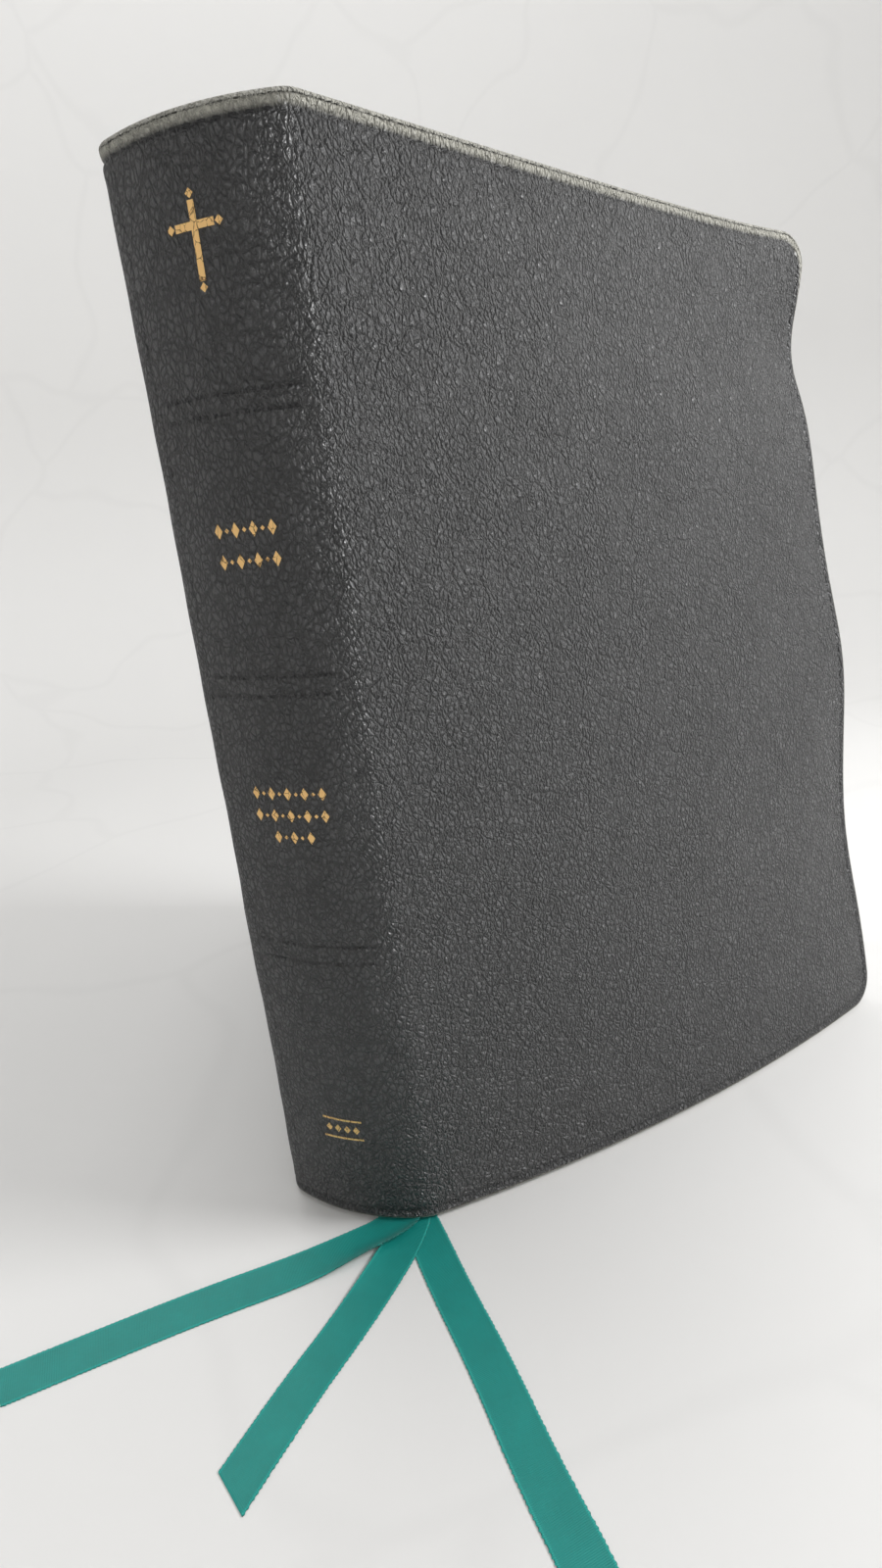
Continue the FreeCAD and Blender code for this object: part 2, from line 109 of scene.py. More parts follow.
class CaseSizes(bpy.types.PropertyGroup):
    """Sizes of the leather case."""
    cover_height: length("Cover height", "Height of the leather cover", 245.0)
    cover_width: length("Cover width", "Joint to fore edge along one cover", 176.0)
    spine_width: length("Spine width", "Joint to joint across the spine", 40.0)
    spine_bulge: length("Spine bulge", "How far the middle of the spine stands out", 3.7)
    corner_radius: length("Corner radius", "Round corners of the covers", 10.0)
    tail_lift: length("Tail lift", "Room under the leather for the ribbon markers", 0.9)
    shell: length("Shell", "Leather and board together", 2.1)
    lining: length("Lining", "Thickness of the lining leather", 0.45)
    rim: length("Rim", "Radius of the turned edge", 1.15)
    joint_round: length("Joint round", "How far the soft joint is rounded", 3.2)
    stitch_inset: length("Stitch inset", "Edge of the cover to its line of stitches", 3.0)
    stitch_pitch: length("Stitch pitch", "One stitch to the next", 2.9)
    shut_splay: turn("Shut splay", "Splay of a shut cover at the head", 1.0)
    front_open: turn("Front open", "Front cover at rest, from shut", 28.0)
    front_twist: turn("Front twist", "Extra splay of the front cover's tail", 15.0)
    front_bow: length("Front bow", "Outward bow of the front cover's tail", 7.0)
    back_open: turn("Back open", "Back cover at rest, from shut", 17.0)
    back_twist: turn("Back twist", "Extra splay of the back cover's tail", 8.0)
    back_bow: length("Back bow", "Outward bow of the back cover's tail", 5.0)


class BlockSizes(bpy.types.PropertyGroup):
    """Sizes of the leaves and what holds them."""
    block_back: length("Block back", "Folds of the leaves behind the joint line", 4.5)
    leaf_width: length("Leaf width", "Width of the leaves from the fold", 164.0)
    leaf_height: length("Leaf height", "Height of the leaves", 236.0)
    leaf_corner: length("Leaf corner", "Round corners of the leaves", 7.0)
    flyleaf: length("Flyleaf", "Endpaper thickness", 0.35)
    flyleaf_seat: length("Flyleaf seat", "Cover face to endpaper", 3.0)
    bundle: length("Bundle", "Thickness of one moving bundle", 2.5)
    bundle_gap: length("Bundle gap", "Air between two bundles", 0.1)
    hinge_gap: length("Hinge gap", "Bare strip beside a fold line", 1.0)
    fold_thickness: length("Fold thickness", "Thickness of a bundle at its fold", 0.6)
    fold_taper: length("Fold taper", "Length over which a bundle swells", 8.0)
    ribbon_width: length("Ribbon width", "Width of a marker", 10.0)
    ribbon: length("Ribbon", "Thickness of a marker", 0.22)
    ribbon_step: length("Ribbon step", "Height step where markers cross", 0.26)
    headband: length("Headband", "Radius of the headband cord", 1.2)


class Colours(bpy.types.PropertyGroup):
    """Colours of the finishes."""
    leather: colour("Leather", "Tops of the pebbles", (0.052, 0.0525, 0.055))
    # Painted shade: the creases between the pebbles are coloured darker than the pebble tops.
    painted_crease_shade: colour("Crease", "Bottoms of the creases", (0.007, 0.007, 0.008))
    # Pale turned edge: partly worn leather and partly painted sheen where the edge faces up to the light.
    rim: colour("Rim", "Worn turned edge", (0.44, 0.43, 0.37))
    lining: colour("Lining", "Smooth lining leather", (0.02, 0.02, 0.022))
    thread: colour("Thread", "Waxed sewing thread of the cover", (0.012, 0.012, 0.013))
    foil: colour("Foil", "Gold foil on the spine", (0.86, 0.56, 0.24))
    gilt: colour("Gilt", "Gilt edges of the leaves", (0.83, 0.58, 0.25))
    paper: colour("Paper", "Thin opaque paper", (0.83, 0.80, 0.72))
    endpaper: colour("Endpaper", "Heavy black endpaper", (0.022, 0.022, 0.024))
    ribbon: colour("Ribbon", "Satin face of the markers", (0.004, 0.225, 0.197))
    ribbon_edge: colour("Ribbon edge", "Woven edge of the markers", (0.012, 0.36, 0.31))
    silk_light: colour("Light silk", "Light strand of the headbands", (0.72, 0.60, 0.34))
    silk_dark: colour("Dark silk", "Dark strand of the headbands", (0.03, 0.03, 0.035))
    gauze: colour("Gauze", "Starched gauze on the folds", (0.66, 0.61, 0.47))
    kraft: colour("Kraft", "Brown paper back lining", (0.36, 0.24, 0.12))
    board: colour("Board", "Flexible board", (0.20, 0.16, 0.11))
    linen: colour("Linen", "Sewing thread of the leaves", (0.72, 0.68, 0.56))
    floor: colour("Floor", "Pale floor and backdrop", (0.74, 0.735, 0.725))


class StageSizes(bpy.types.PropertyGroup):
    """Sizes of the stage."""
    floor_radius: length("Floor radius", "Flat part of the floor", 520.0)
    sweep_radius: length("Sweep radius", "Bend between floor and backdrop", 330.0)
    backdrop_height: length("Backdrop height", "Height of the backdrop", 1500.0)
    lens: FloatProperty(name="Lens", description="Focal length", default=18.0, unit="CAMERA")


def tinted(rgb, share):
    """A colour made darker or lighter by a share."""
    return tuple(v * share for v in rgb)


def case():
    return bpy.context.scene.bible_case


def block():
    return bpy.context.scene.bible_block


def colours():
    return bpy.context.scene.bible_colours


def offset():
    """Where the front joint's foot lies in the frame, in metres."""
    core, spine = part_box("leaves_core"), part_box("spine_leather")
    return np.array([core[0][0] - block().block_back, spine[0][1], 0.0])


# ---------------------------------------------------------------- shader maths

class Value:
    """A number socket that answers to plain arithmetic."""

    def __init__(self, graph, socket):
        self.graph, self.socket = graph, socket

    def maths(self, operation, *others):
        return self.graph.node("ShaderNodeMath", {"operation": operation}, [self, *others])

    def __add__(self, other):
        return self.maths("ADD", other)

    def __sub__(self, other):
        return self.maths("SUBTRACT", other)

    def __mul__(self, other):
        return self.maths("MULTIPLY", other)

    def __rsub__(self, other):
        return self.graph.node("ShaderNodeMath", {"operation": "SUBTRACT"}, [other, self])

    def smooth(self, low, high):
        """0 below low, 1 above high, with a soft step between."""
        return self.graph.node("ShaderNodeMapRange", {"interpolation_type": "SMOOTHSTEP"},
                               {"Value": self, "From Min": low, "From Max": high})

    __radd__ = __add__
    __rmul__ = __mul__


class Graph:
    """Builds one material's nodes."""

    def __init__(self, name):
        self.material = bpy.data.materials.new(name)
        self.material.use_nodes = True
        self.nodes = self.material.node_tree.nodes
        self.links = self.material.node_tree.links
        self.shader = self.nodes["Principled BSDF"]

    def node(self, kind, settings=None, inputs=None, out=0):
        """Adds a node; settings come first, then values or links of its sockets."""
        made = self.nodes.new(kind)
        for key, setting in (settings or {}).items():
            setattr(made, key, setting)
        pairs = inputs.items() if isinstance(inputs, dict) else enumerate(inputs or [])
        for key, given in pairs:
            self.feed(made.inputs[key], given)
        return Value(self, made.outputs[out])

    def feed(self, socket, given):
        """Links a value into a socket, or sets a plain number or colour on it."""
        if isinstance(given, Value):
            self.links.new(given.socket, socket)
        elif hasattr(given, "__len__") and socket.type == "RGBA":
            socket.default_value = (*given[:3], 1.0)
        else:
            socket.default_value = given

    def set(self, **sockets):
        """Feeds the shader's own sockets; underscores stand for spaces."""
        for key, given in sockets.items():
            self.feed(self.shader.inputs[key.replace("_", " ")], given)

    def mix(self, factor, first, second):
        """A colour between two colours."""
        made = self.nodes.new("ShaderNodeMix")
        made.data_type = "RGBA"
        for index, given in ((0, factor), (6, first), (7, second)):
            self.feed(made.inputs[index], given)
        return Value(self, made.outputs[2])

    def surface(self, scale=1.0, turn_z=0.0, stretch=(1.0, 1.0, 1.0)):
        """Flat coordinates of the piece in millimetres over scale."""
        uv = self.node("ShaderNodeUVMap", {"uv_map": "Surface"})
        factor = 1.0 / (MM * scale)
        return self.node("ShaderNodeMapping", None, {
            "Vector": uv, "Rotation": (0.0, 0.0, turn_z),
            "Scale": tuple(factor * s for s in stretch)})

    def shift(self, coordinates, noise_scale, amount):
        """Coordinates pushed about by noise."""
        push = self.node("ShaderNodeTexNoise", None,
                         {"Vector": coordinates, "Scale": noise_scale, "Detail": 2.0}, out=1)
        centred = self.node("ShaderNodeVectorMath", {"operation": "SUBTRACT"}, [push, (0.5, 0.5, 0.5)])
        scaled = self.node("ShaderNodeVectorMath", {"operation": "SCALE"}, {0: centred, "Scale": amount})
        return self.node("ShaderNodeVectorMath", {"operation": "ADD"}, [coordinates, scaled])

    def noise(self, coordinates, scale, detail=3.0):
        return self.node("ShaderNodeTexNoise", None,
                         {"Vector": coordinates, "Scale": scale, "Detail": detail})

    def cells(self, coordinates, scale, feature="DISTANCE_TO_EDGE"):
        return self.node("ShaderNodeTexVoronoi", {"feature": feature},
                         {"Vector": coordinates, "Scale": scale})

    def bump(self, height, depth, strength=1.0):
        """Bump of the given depth in millimetres."""
        self.set(Normal=self.node("ShaderNodeBump", None, {
            "Strength": strength, "Distance": depth * MM, "Height": height}))


def pebbled_leather():
    """Black goatskin: irregular domed pebbles, narrow creases between them painted darker as shade, and a
    satin top.
    """
    g = Graph("pebbled_leather")
    c = colours()
    flat = g.surface(turn_z=0.62, stretch=(1.0, 0.7, 1.0))
    pushed = g.shift(flat, 0.34, 1.8)
    pebbles = g.cells(pushed, 0.84)
    small = g.cells(g.shift(flat, 0.9, 0.8), 1.7)
    veins = g.cells(g.shift(flat, 0.16, 5.0), 0.19)
    patch = g.noise(g.surface(), 0.045, 2.0).smooth(0.35, 0.65)
    dome = pebbles.smooth(0.0, 0.34)
    fine = small.smooth(0.0, 0.3)
    vein = veins.smooth(0.0, 0.07)
    grit = g.noise(flat, 3.0, 3.0)
    height = dome * (0.7 + patch * 0.3) + fine * 0.3 + vein * 0.45 + grit * 0.16
    # Painted shade: this mask gives the creases and veins the dark crease colour and the pebble tops the
    # leather colour; it also sets the roughness.
    tops = (pebbles.smooth(0.0, 0.2) * (0.4 + vein * 0.6) * (0.65 + fine * 0.35)).smooth(0.1, 0.95)
    edge = g.node("ShaderNodeAttribute", {"attribute_name": "edge_band"}, None, out=2)
    body = g.mix(tops, c.painted_crease_shade, c.leather)
    # Painted sheen: the edge band takes the pale rim colour, partly worn leather and partly sheen painted in.
    g.set(Base_Color=g.mix(edge * (0.65 + grit * 0.35), body, c.rim),
          Roughness=0.54 - tops * 0.2 + grit * 0.1 + edge * 0.16)
    g.shader.inputs["Specular IOR Level"].default_value = 1.0
    g.bump(height, 0.8)
    return g.material


def smooth_leather():
    """Fine-grained lining leather."""
    g = Graph("smooth_leather")
    flat = g.surface()
    grain = g.cells(g.shift(flat, 1.2, 0.5), 1.9).smooth(0.0, 0.3)
    cloud = g.noise(flat, 0.05)
    g.set(Base_Color=g.mix(cloud, tinted(colours().lining, 0.7), tinted(colours().lining, 1.5)),
          Roughness=0.46 + grain * 0.08 + cloud * 0.12)
    g.bump(grain + g.noise(flat, 0.3) * 0.5, 0.06)
    return g.material


def waxed_thread():
    """Twisted dark thread with a waxy glint."""
    g = Graph("waxed_thread")
    ply = g.node("ShaderNodeTexWave", {"bands_direction": "DIAGONAL"},
                 {"Vector": g.surface(0.45), "Scale": 1.0, "Distortion": 0.4})
    g.set(Base_Color=g.mix(ply, tinted(colours().thread, 0.5), tinted(colours().thread, 2.2)),
          Roughness=0.42)
    g.bump(ply, 0.05)
    return g.material


def gold_foil():
    """Hot foil pressed into the grain, thin where the leather dips."""
    g = Graph("gold_foil")
    flat = g.surface(turn_z=0.62, stretch=(1.0, 0.72, 1.0))
    pebbles = g.cells(g.shift(flat, 0.34, 1.5), 0.62).smooth(0.0, 0.12)
    grit = g.noise(flat, 2.4)
    covered = (pebbles * 0.6 + grit * 0.7).smooth(0.30, 0.55)
    g.set(Base_Color=g.mix(covered, (0.16, 0.09, 0.03), colours().foil),
          Metallic=0.35 + covered * 0.6, Roughness=0.42 - covered * 0.12 + grit * 0.1)
    g.bump(pebbles * 0.5 + grit * 0.3, 0.10)
    return g.material


def leaf_paper():
    """Thin opaque paper with the faint show of its fibres."""
    g = Graph("leaf_paper")
    flat = g.surface()
    fibre = g.noise(flat, 0.9, 4.0)
    cloud = g.noise(flat, 0.04)
    paper = colours().paper
    g.set(Base_Color=g.mix(cloud * 0.6 + fibre * 0.4, tinted(paper, 0.93), paper),
          Roughness=0.82 + fibre * 0.1)
    g.bump(fibre + cloud * 2.0, 0.03)
    return g.material


def gilt_edge():
    """Gold leaf burnished over the cut leaves, with the lines of single leaves."""
    g = Graph("gilt_edge")
    lines = g.noise(g.node("ShaderNodeMapping", None, {
        "Vector": g.surface(), "Scale": (0.06, 26.0, 1.0)}), 1.0, 2.0)
    cloud = g.noise(g.surface(), 0.08)
    gilt = colours().gilt
    g.set(Base_Color=g.mix(lines.smooth(0.3, 0.6), tinted(gilt, 0.72), gilt),
          Metallic=0.95, Roughness=0.27 + cloud * 0.12)
    g.bump(lines, 0.03)
    return g.material


def endpaper():
    """Heavy black endpaper with a felt-like tooth."""
    g = Graph("endpaper")
    tooth = g.noise(g.surface(), 1.6, 4.0)
    black = colours().endpaper
    g.set(Base_Color=g.mix(tooth, tinted(black, 0.6), tinted(black, 1.6)),
          Roughness=0.78 + tooth * 0.1)
    g.bump(tooth, 0.05)
    return g.material


def satin_ribbon():
    """Teal satin: fine cross ribs, a slow sheen and lighter woven edges."""
    g = Graph("satin_ribbon")
    c = colours()
    ribs = g.node("ShaderNodeTexWave", {"bands_direction": "X"},
                  {"Vector": g.surface(0.36), "Scale": 0.32, "Distortion": 0.6, "Detail": 1.0})
    floats = g.noise(g.node("ShaderNodeMapping", None, {
        "Vector": g.surface(), "Scale": (0.5, 7.0, 1.0)}), 1.0)
    edge = g.node("ShaderNodeAttribute", {"attribute_name": "edge_band"}, None, out=2)
    cloud = g.noise(g.surface(), 0.12)
    face = g.mix(floats * 0.6 + cloud * 0.5, tinted(c.ribbon, 0.66), tinted(c.ribbon, 1.25))
    g.set(Base_Color=g.mix(edge * (0.35 + ribs * 0.65), face, c.ribbon_edge),
          Roughness=0.36 + floats * 0.14 + edge * 0.2)
    g.shader.inputs["Sheen Weight"].default_value = 0.1
    g.shader.inputs["Sheen Roughness"].default_value = 0.4
    g.bump(ribs * 0.5 + floats * 0.35 + edge * ribs * 0.6, 0.06)
    return g.material


def wound_silk():
    """Headband silk in two colours, wound over a cord."""
    g = Graph("wound_silk")
    strand = g.node("ShaderNodeTexWave", {"bands_direction": "X"}, {"Vector": g.surface(0.4), "Scale": 0.5})
    colour_band = g.node("ShaderNodeTexWave", {"bands_direction": "X"},
                         {"Vector": g.surface(2.4), "Scale": 0.5})
    silk = g.mix(colour_band.smooth(0.45, 0.55), colours().silk_dark, colours().silk_light)
    g.set(Base_Color=g.mix(strand * 0.4, silk, (0.01, 0.01, 0.01)), Roughness=0.38 + strand * 0.1)
    g.bump(strand, 0.08)
    return g.material


def woven(name, shade, thread, depth, rough):
    """An open weave, used for the gauze and the linen thread."""
    g = Graph(name)
    place = g.node("ShaderNodeTexCoord", None, None, out=3)
    threads = g.node("ShaderNodeTexWave", {"bands_direction": "Y"}, {"Vector": place, "Scale": 1.0 / thread})
    others = g.node("ShaderNodeTexWave", {"bands_direction": "Z"}, {"Vector": place, "Scale": 1.0 / thread})
    weave = threads * 0.5 + others * 0.5
    g.set(Base_Color=g.mix(weave, tinted(shade, 0.5), shade), Roughness=rough)
    g.bump(weave, depth)
    return g.material


def pressed_fibre(name, shade, depth):
    """Board or kraft paper with loose fibres."""
    g = Graph(name)
    place = g.node("ShaderNodeTexCoord", None, None, out=3)
    fibre = g.noise(place, 900.0, 4.0)
    cloud = g.noise(place, 60.0)
    g.set(Base_Color=g.mix(fibre * 0.5 + cloud * 0.5, tinted(shade, 0.7), tinted(shade, 1.2)),
          Roughness=0.8 + fibre * 0.1)
    g.bump(fibre, depth)
    return g.material


def pale_floor():
    """Pale polished stone with very faint veins."""
    g = Graph("pale_floor")
    place = g.node("ShaderNodeTexCoord", None, None, out=3)
    cloud = g.noise(place, 3.4, 5.0)
    vein = g.cells(g.shift(place, 5.0, 0.16), 5.5).smooth(0.0, 0.03)
    base = tuple(colours().floor)
    dark = tinted(base, 0.93)
    g.set(Base_Color=g.mix(cloud * 0.65 + vein * 0.35, dark, base), Roughness=0.55 + cloud * 0.1)
    return g.material


FINISHES = {}

# The lining leather: joint to its start, cover edge to its edge, its turned rim, and how far it
# sits into the board.
DOUBLURE_START = 0.005
DOUBLURE_MARGIN = 0.0017
DOUBLURE_RIM = 0.00022
DOUBLURE_OVERLAP = 0.00003
BACK_SEAM = 0.004


def finish_of(name, make, *details):
    """The material of that name, made the first time it is asked for."""
    if name not in FINISHES:
        FINISHES[name] = make(*details)
    return FINISHES[name]


# ---------------------------------------------------------------- mesh helpers

def new_piece(name, points, faces, flat, finishes, face_finish=None, edge_band=None, smooth=True):
    """A mesh object from points in metres; flat holds each point's flat coordinates."""
    mesh = bpy.data.meshes.new(name)
    mesh.from_pydata([tuple(p) for p in points], [], faces)
    layer = mesh.uv_layers.new(name="Surface")
    corners = np.empty(len(mesh.loops), dtype=np.int32)
    mesh.loops.foreach_get("vertex_index", corners)
    layer.data.foreach_set("uv", np.asarray(flat, dtype=np.float32)[corners].ravel())
    if edge_band is not None:
        shares = mesh.attributes.new("edge_band", "FLOAT", "POINT")
        shares.data.foreach_set("value", np.asarray(edge_band, dtype=np.float32))
    for finish in finishes:
        mesh.materials.append(finish)
    if face_finish is not None:
        mesh.polygons.foreach_set("material_index", np.asarray(face_finish, dtype=np.int32))
    mesh.polygons.foreach_set("use_smooth", np.full(len(mesh.polygons), smooth))
    mesh.update()
    piece = bpy.data.objects.new(name, mesh)
    bpy.context.scene.collection.objects.link(piece)
    return piece


def grid_faces(start, rows, columns, flip=False):
    """Faces of a grid whose points run along each row, one row after another."""
    faces = []
    for i in range(rows - 1):
        for j in range(columns - 1):
            a = start + i * columns + j
            face = (a, a + 1, a + columns + 1, a + columns)
            faces.append(face[::-1] if flip else face)
    return faces


# ---------------------------------------------------------------- the case's surface

def rise(share, middle, spread):
    """A smooth rise around one spot, used for waves, grooves and swells."""
    return np.exp(-(((share - middle) / spread) ** 2))


def cover_surface(side, along, height):
    """Outer surface of a splayed cover, in metres from the front joint's foot."""
    c = case()
    opening, twist, bow = (getattr(c, side + "_" + key) for key in ("open", "twist", "bow"))
    flare, wave = (0.005, 0.001) if side == "front" else (0.002, -0.0006)
    share, tall = along / c.cover_width, height / c.cover_height
    reach = np.clip(share, 0.0, None)
    bowed = bow * (1.0 - tall) * 4.0 * share * (1.0 - share)
    waves = 2.7 * rise(tall, 0.49, 0.1) - 2.9 * rise(tall, 0.245, 0.12) - 3.0 * rise(tall, 0.865, 0.057)
    out = bowed + wave * waves * reach ** 3 + flare * rise(tall, 1.0, 0.073) * reach ** 6
    angle = opening + c.shut_splay + twist * (1.0 - tall)
    x = along * np.cos(angle) - out * np.sin(angle)
    y = -out * np.cos(angle) - along * np.sin(angle)
    if side == "back":
        y = c.spine_width - y
    return np.stack([x, y, c.tail_lift + height], axis=-1)


def raw_wrap(run, height):
    """The case unrolled: run is 0 at the front joint, grows across the spine."""
    c = case()
    across = np.clip(run / c.spine_width, 0.0, 1.0)
    spine = np.stack([-c.spine_bulge * (1.0 - (2.0 * across - 1.0) ** 2), c.spine_width * across,
                      c.tail_lift + height], axis=-1)
    front = cover_surface("front", -run, height)
    back = cover_surface("back", run - c.spine_width, height)
    chosen = np.where((run < 0.0)[..., None], front, spine)
    return np.where((run > c.spine_width)[..., None], back, chosen)


def soft_wrap(run, height):
    """The case with its joints rounded."""
    spread = case().joint_round
    steps = np.linspace(-1.0, 1.0, 9)
    weights = 1.0 + np.cos(np.pi * steps * 0.9)
    total = sum(w * raw_wrap(run + spread * s, height) for s, w in zip(steps, weights))
    far = np.maximum(np.maximum(-run, run - case().spine_width) - 0.012, 0.0) / 0.02
    near = np.clip(1.0 - far, 0.0, 1.0)[..., None]
    return (total / weights.sum()) * near + raw_wrap(run, height) * (1.0 - near)


def wrap(run, height, depth):
    """A point of the case, depth inwards from its outer surface, in the frame."""
    step = 0.0004
    run, height = np.asarray(run, float), np.asarray(height, float)
    along = soft_wrap(run + step, height) - soft_wrap(run - step, height)
    up = soft_wrap(run, height + step) - soft_wrap(run, height - step)
    inwards = np.cross(along, up)
    inwards /= np.linalg.norm(inwards, axis=-1, keepdims=True)
    return soft_wrap(run, height) + inwards * np.asarray(depth, float)[..., None] + offset()


def edge_distance(run, height):
    """How far a point of the unrolled case is from its nearest edge."""
    c = case()
    fore = np.minimum(run + c.cover_width, c.spine_width + c.cover_width - run)
    level = np.minimum(height, c.cover_height - height)
    radius = c.corner_radius
    corner = radius - np.hypot(np.maximum(radius - fore, 0.0), np.maximum(radius - level, 0.0))
    inside = (fore < radius) & (level < radius)
    return np.where(inside, corner, np.minimum(fore, level))


# Heights of the blind-tooled lines on the spine, in millimetres.
TOOLED = (200.6, 197.1, 146.7, 142.6, 82.4, 77.9)
TOOLED_DEPTH = 0.34
TOOLED_SWELL = 0.09
TOOLED_INSET = 0.0045
TOOLED_FADE = 0.0012


def tooling(run, height):
    """Depth of the blind-tooled lines across the spine."""
    c = case()
    ends = np.clip((run - TOOLED_INSET) / TOOLED_FADE, 0.0, 1.0)
    ends = ends * np.clip((c.spine_width - TOOLED_INSET - run) / TOOLED_FADE, 0.0, 1.0)
    cut = sum(TOOLED_DEPTH * rise(height, z * MM, 0.00036)
              - TOOLED_SWELL * rise(height, z * MM, 0.0011) for z in TOOLED)
    return cut * MM * ends


def outer_relief(run, height):
    """Turned rim, stitch groove, tooled lines and the soft unevenness of limp leather."""
    e = edge_distance(run, height) / MM
    turned_rim, groove, shoulder = rise(e, 1.3, 0.8), rise(e, 3.0, 0.42), rise(e, 4.8, 1.3)
    rim = 0.34 * groove - 0.24 * turned_rim - 0.13 * shoulder
    x, z = run / MM, height / MM
    uneven = 0.16 * np.sin(x * 0.11 + 1.3 * np.sin(z * 0.035)) * np.sin(z * 0.087 + x * 0.021)
    uneven = uneven + 0.10 * np.sin(x * 0.31 - z * 0.12) * np.sin(z * 0.23 + x * 0.05 + 2.0)
    pucker = 0.05 * np.sin(2.0 * math.pi * (x + z) / 2.9) * rise(e, 3.4, 1.6)
    return (rim + uneven * np.clip(e / 8.0, 0.0, 1.0) + pucker) * MM + tooling(run, height)


def level_marks(margin):
    """Heights of the grid rows: close near the edges and the tooled lines."""
    tall = case().cover_height / MM
    near = list(np.arange(0.0, 7.9, 0.42))
    marks = [margin + v for v in near] + [tall - margin - v for v in near]
    marks += list(np.linspace(margin + 9.0, tall - margin - 9.0, 84))
    for line in TOOLED:
        marks = [v for v in marks if abs(v - line) > 1.5]
        marks += [line + v for v in (-1.4, -0.95, -0.6, -0.38, -0.2, 0.0, 0.2, 0.38, 0.6, 0.95, 1.4)]
    kept = []
    for mark in sorted(marks):
        if not kept or mark - kept[-1] > 0.12:
            kept.append(mark)
    return np.array(kept) * MM


def shell_sheet(name, side, seam, margin, depths, rim, finish, relief=None, arc_steps=24):
    """A closed sheet that follows the case from one round-cornered fore edge to a seam."""
    c = case()
    radius = c.corner_radius - margin - rim
    edge = c.cover_width - margin - rim
    low = margin + rim
    arc = np.linspace(0.0, math.pi / 2.0, arc_steps)
    distance = list(edge - radius * (1.0 - np.cos(arc)))
    inner = edge - radius
    distance += list(np.linspace(inner, 0.012, 62))[1:]
    distance += list(np.linspace(0.012, -seam, max(int((0.012 + seam) / 0.0009), 2)))[1:]
    distance = np.array(distance)
    heights = level_marks(low / MM)
    tail = np.full(len(distance), low)
    tail[:arc_steps] = low + radius * (1.0 - np.sin(arc))
    change = low + 0.028
    rows, columns = len(distance), len(heights)
    grid = np.empty((rows, columns))
    for i in range(rows):
        squeeze = (change - tail[i]) / (change - low)
        lower = np.minimum(heights, change)
        upper = np.maximum(heights, c.cover_height - change)
        grid[i] = heights
        grid[i] += (tail[i] + (lower - low) * squeeze - lower)
        grid[i] += (c.cover_height - tail[i] - (c.cover_height - low - upper) * squeeze - upper)
    flip = side == "back"
    run = np.repeat(distance[:, None], columns, axis=1)
    run = c.spine_width + run if flip else -run
    outer_depth = depths[0] + (relief(run, grid) if relief else 0.0 * run)
    outer = wrap(run, grid, outer_depth)
    inner_side = wrap(run, grid, np.full_like(run, depths[1]))
    points = [outer.reshape(-1, 3), inner_side.reshape(-1, 3)]
    flat = [np.stack([run, grid], -1).reshape(-1, 2),
            np.stack([run + 0.5, grid + 0.0031], -1).reshape(-1, 2)]
    half = rows * columns
    faces = grid_faces(0, rows, columns, flip) + grid_faces(half, rows, columns, not flip)
    loop = [(rows - 1 - i, 0) for i in range(rows)] + [(0, j) for j in range(1, columns)]
    loop += [(i, columns - 1) for i in range(1, rows)]
    way = []
    for i, j in loop:
        angle = arc[i] if i < arc_steps else math.pi / 2.0
        if i == 0 and 0 < j < columns - 1:
            angle = 0.0
        up = -math.sin(angle) if j == 0 else math.sin(angle)
        out = math.cos(angle) * (1.0 if flip else -1.0)
        way.append((out, 0.0 if i == 0 and 0 < j < columns - 1 else up))
    way = np.array(way)
    at = np.array([[run[i, j], grid[i, j]] for i, j in loop])
    start_depth = np.array([outer_depth[i, j] for i, j in loop])
    middle, swell = (start_depth + depths[1]) / 2.0, (depths[1] - start_depth) / 2.0
    count = len(loop)
    previous = np.array([i * columns + j for i, j in loop])
    last = previous + half
    turns = 7
    total = 2 * half
    for step in range(1, turns):
        angle = math.pi * step / turns
        place = at + way * (rim * math.sin(angle))
        ring = wrap(place[:, 0], place[:, 1], middle - swell * math.cos(angle))
        points.append(ring)
        flat.append(at + way * (rim * angle))
        current = np.arange(total, total + count)
        faces += ring_faces(previous, current, flip)
        previous, total = current, total + count
    faces += ring_faces(previous, last, flip)
    seam_row = (rows - 1) * columns
    for j in range(columns - 1):
        a, b = seam_row + j, seam_row + j + 1
        face = (a, b, b + half, a + half)
        faces.append(face[::-1] if flip else face)
    points, flat = np.concatenate(points), np.concatenate(flat)
    # The pale band is wider at the head, where painted sheen stands in for light caught by the upward edge.
    near_head = np.clip((grid / c.cover_height - 0.93) / 0.05, 0.0, 1.0)
    band = 0.9 + 1.6 * near_head
    share = np.clip((band + 0.4 - edge_distance(run, grid) / MM) / 0.8, 0.0, 1.0).ravel()
    edge_band = np.concatenate([share] * 2 + [np.ones(count)] * (turns - 1))
    return new_piece(name, points, faces, flat, [finish], edge_band=edge_band)


def ring_faces(first, second, flip):
    """Faces between two open rows of points."""
    faces = []
    for k in range(len(first) - 1):
        face = (first[k], first[k + 1], second[k + 1], second[k])
        faces.append(tuple(int(v) for v in (face if not flip else face[::-1])))
    return faces


def hinge(side):
    """A cover's joint line at the floor, and the way its cover points."""
    c = case()
    foot = offset() + np.array([0.0, 0.0 if side == "front" else c.spine_width, 0.0])
    opening, twist = getattr(c, side + "_open"), getattr(c, side + "_twist")
    angle = opening + c.shut_splay + twist / 2.0
    way = np.array([math.cos(angle), -math.sin(angle) if side == "front" else math.sin(angle), 0.0])
    return foot, way


def bend_at_joint(piece, side):
    """Bakes a leather piece's placement into its mesh."""
    foot, way = hinge(side)
    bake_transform(piece)


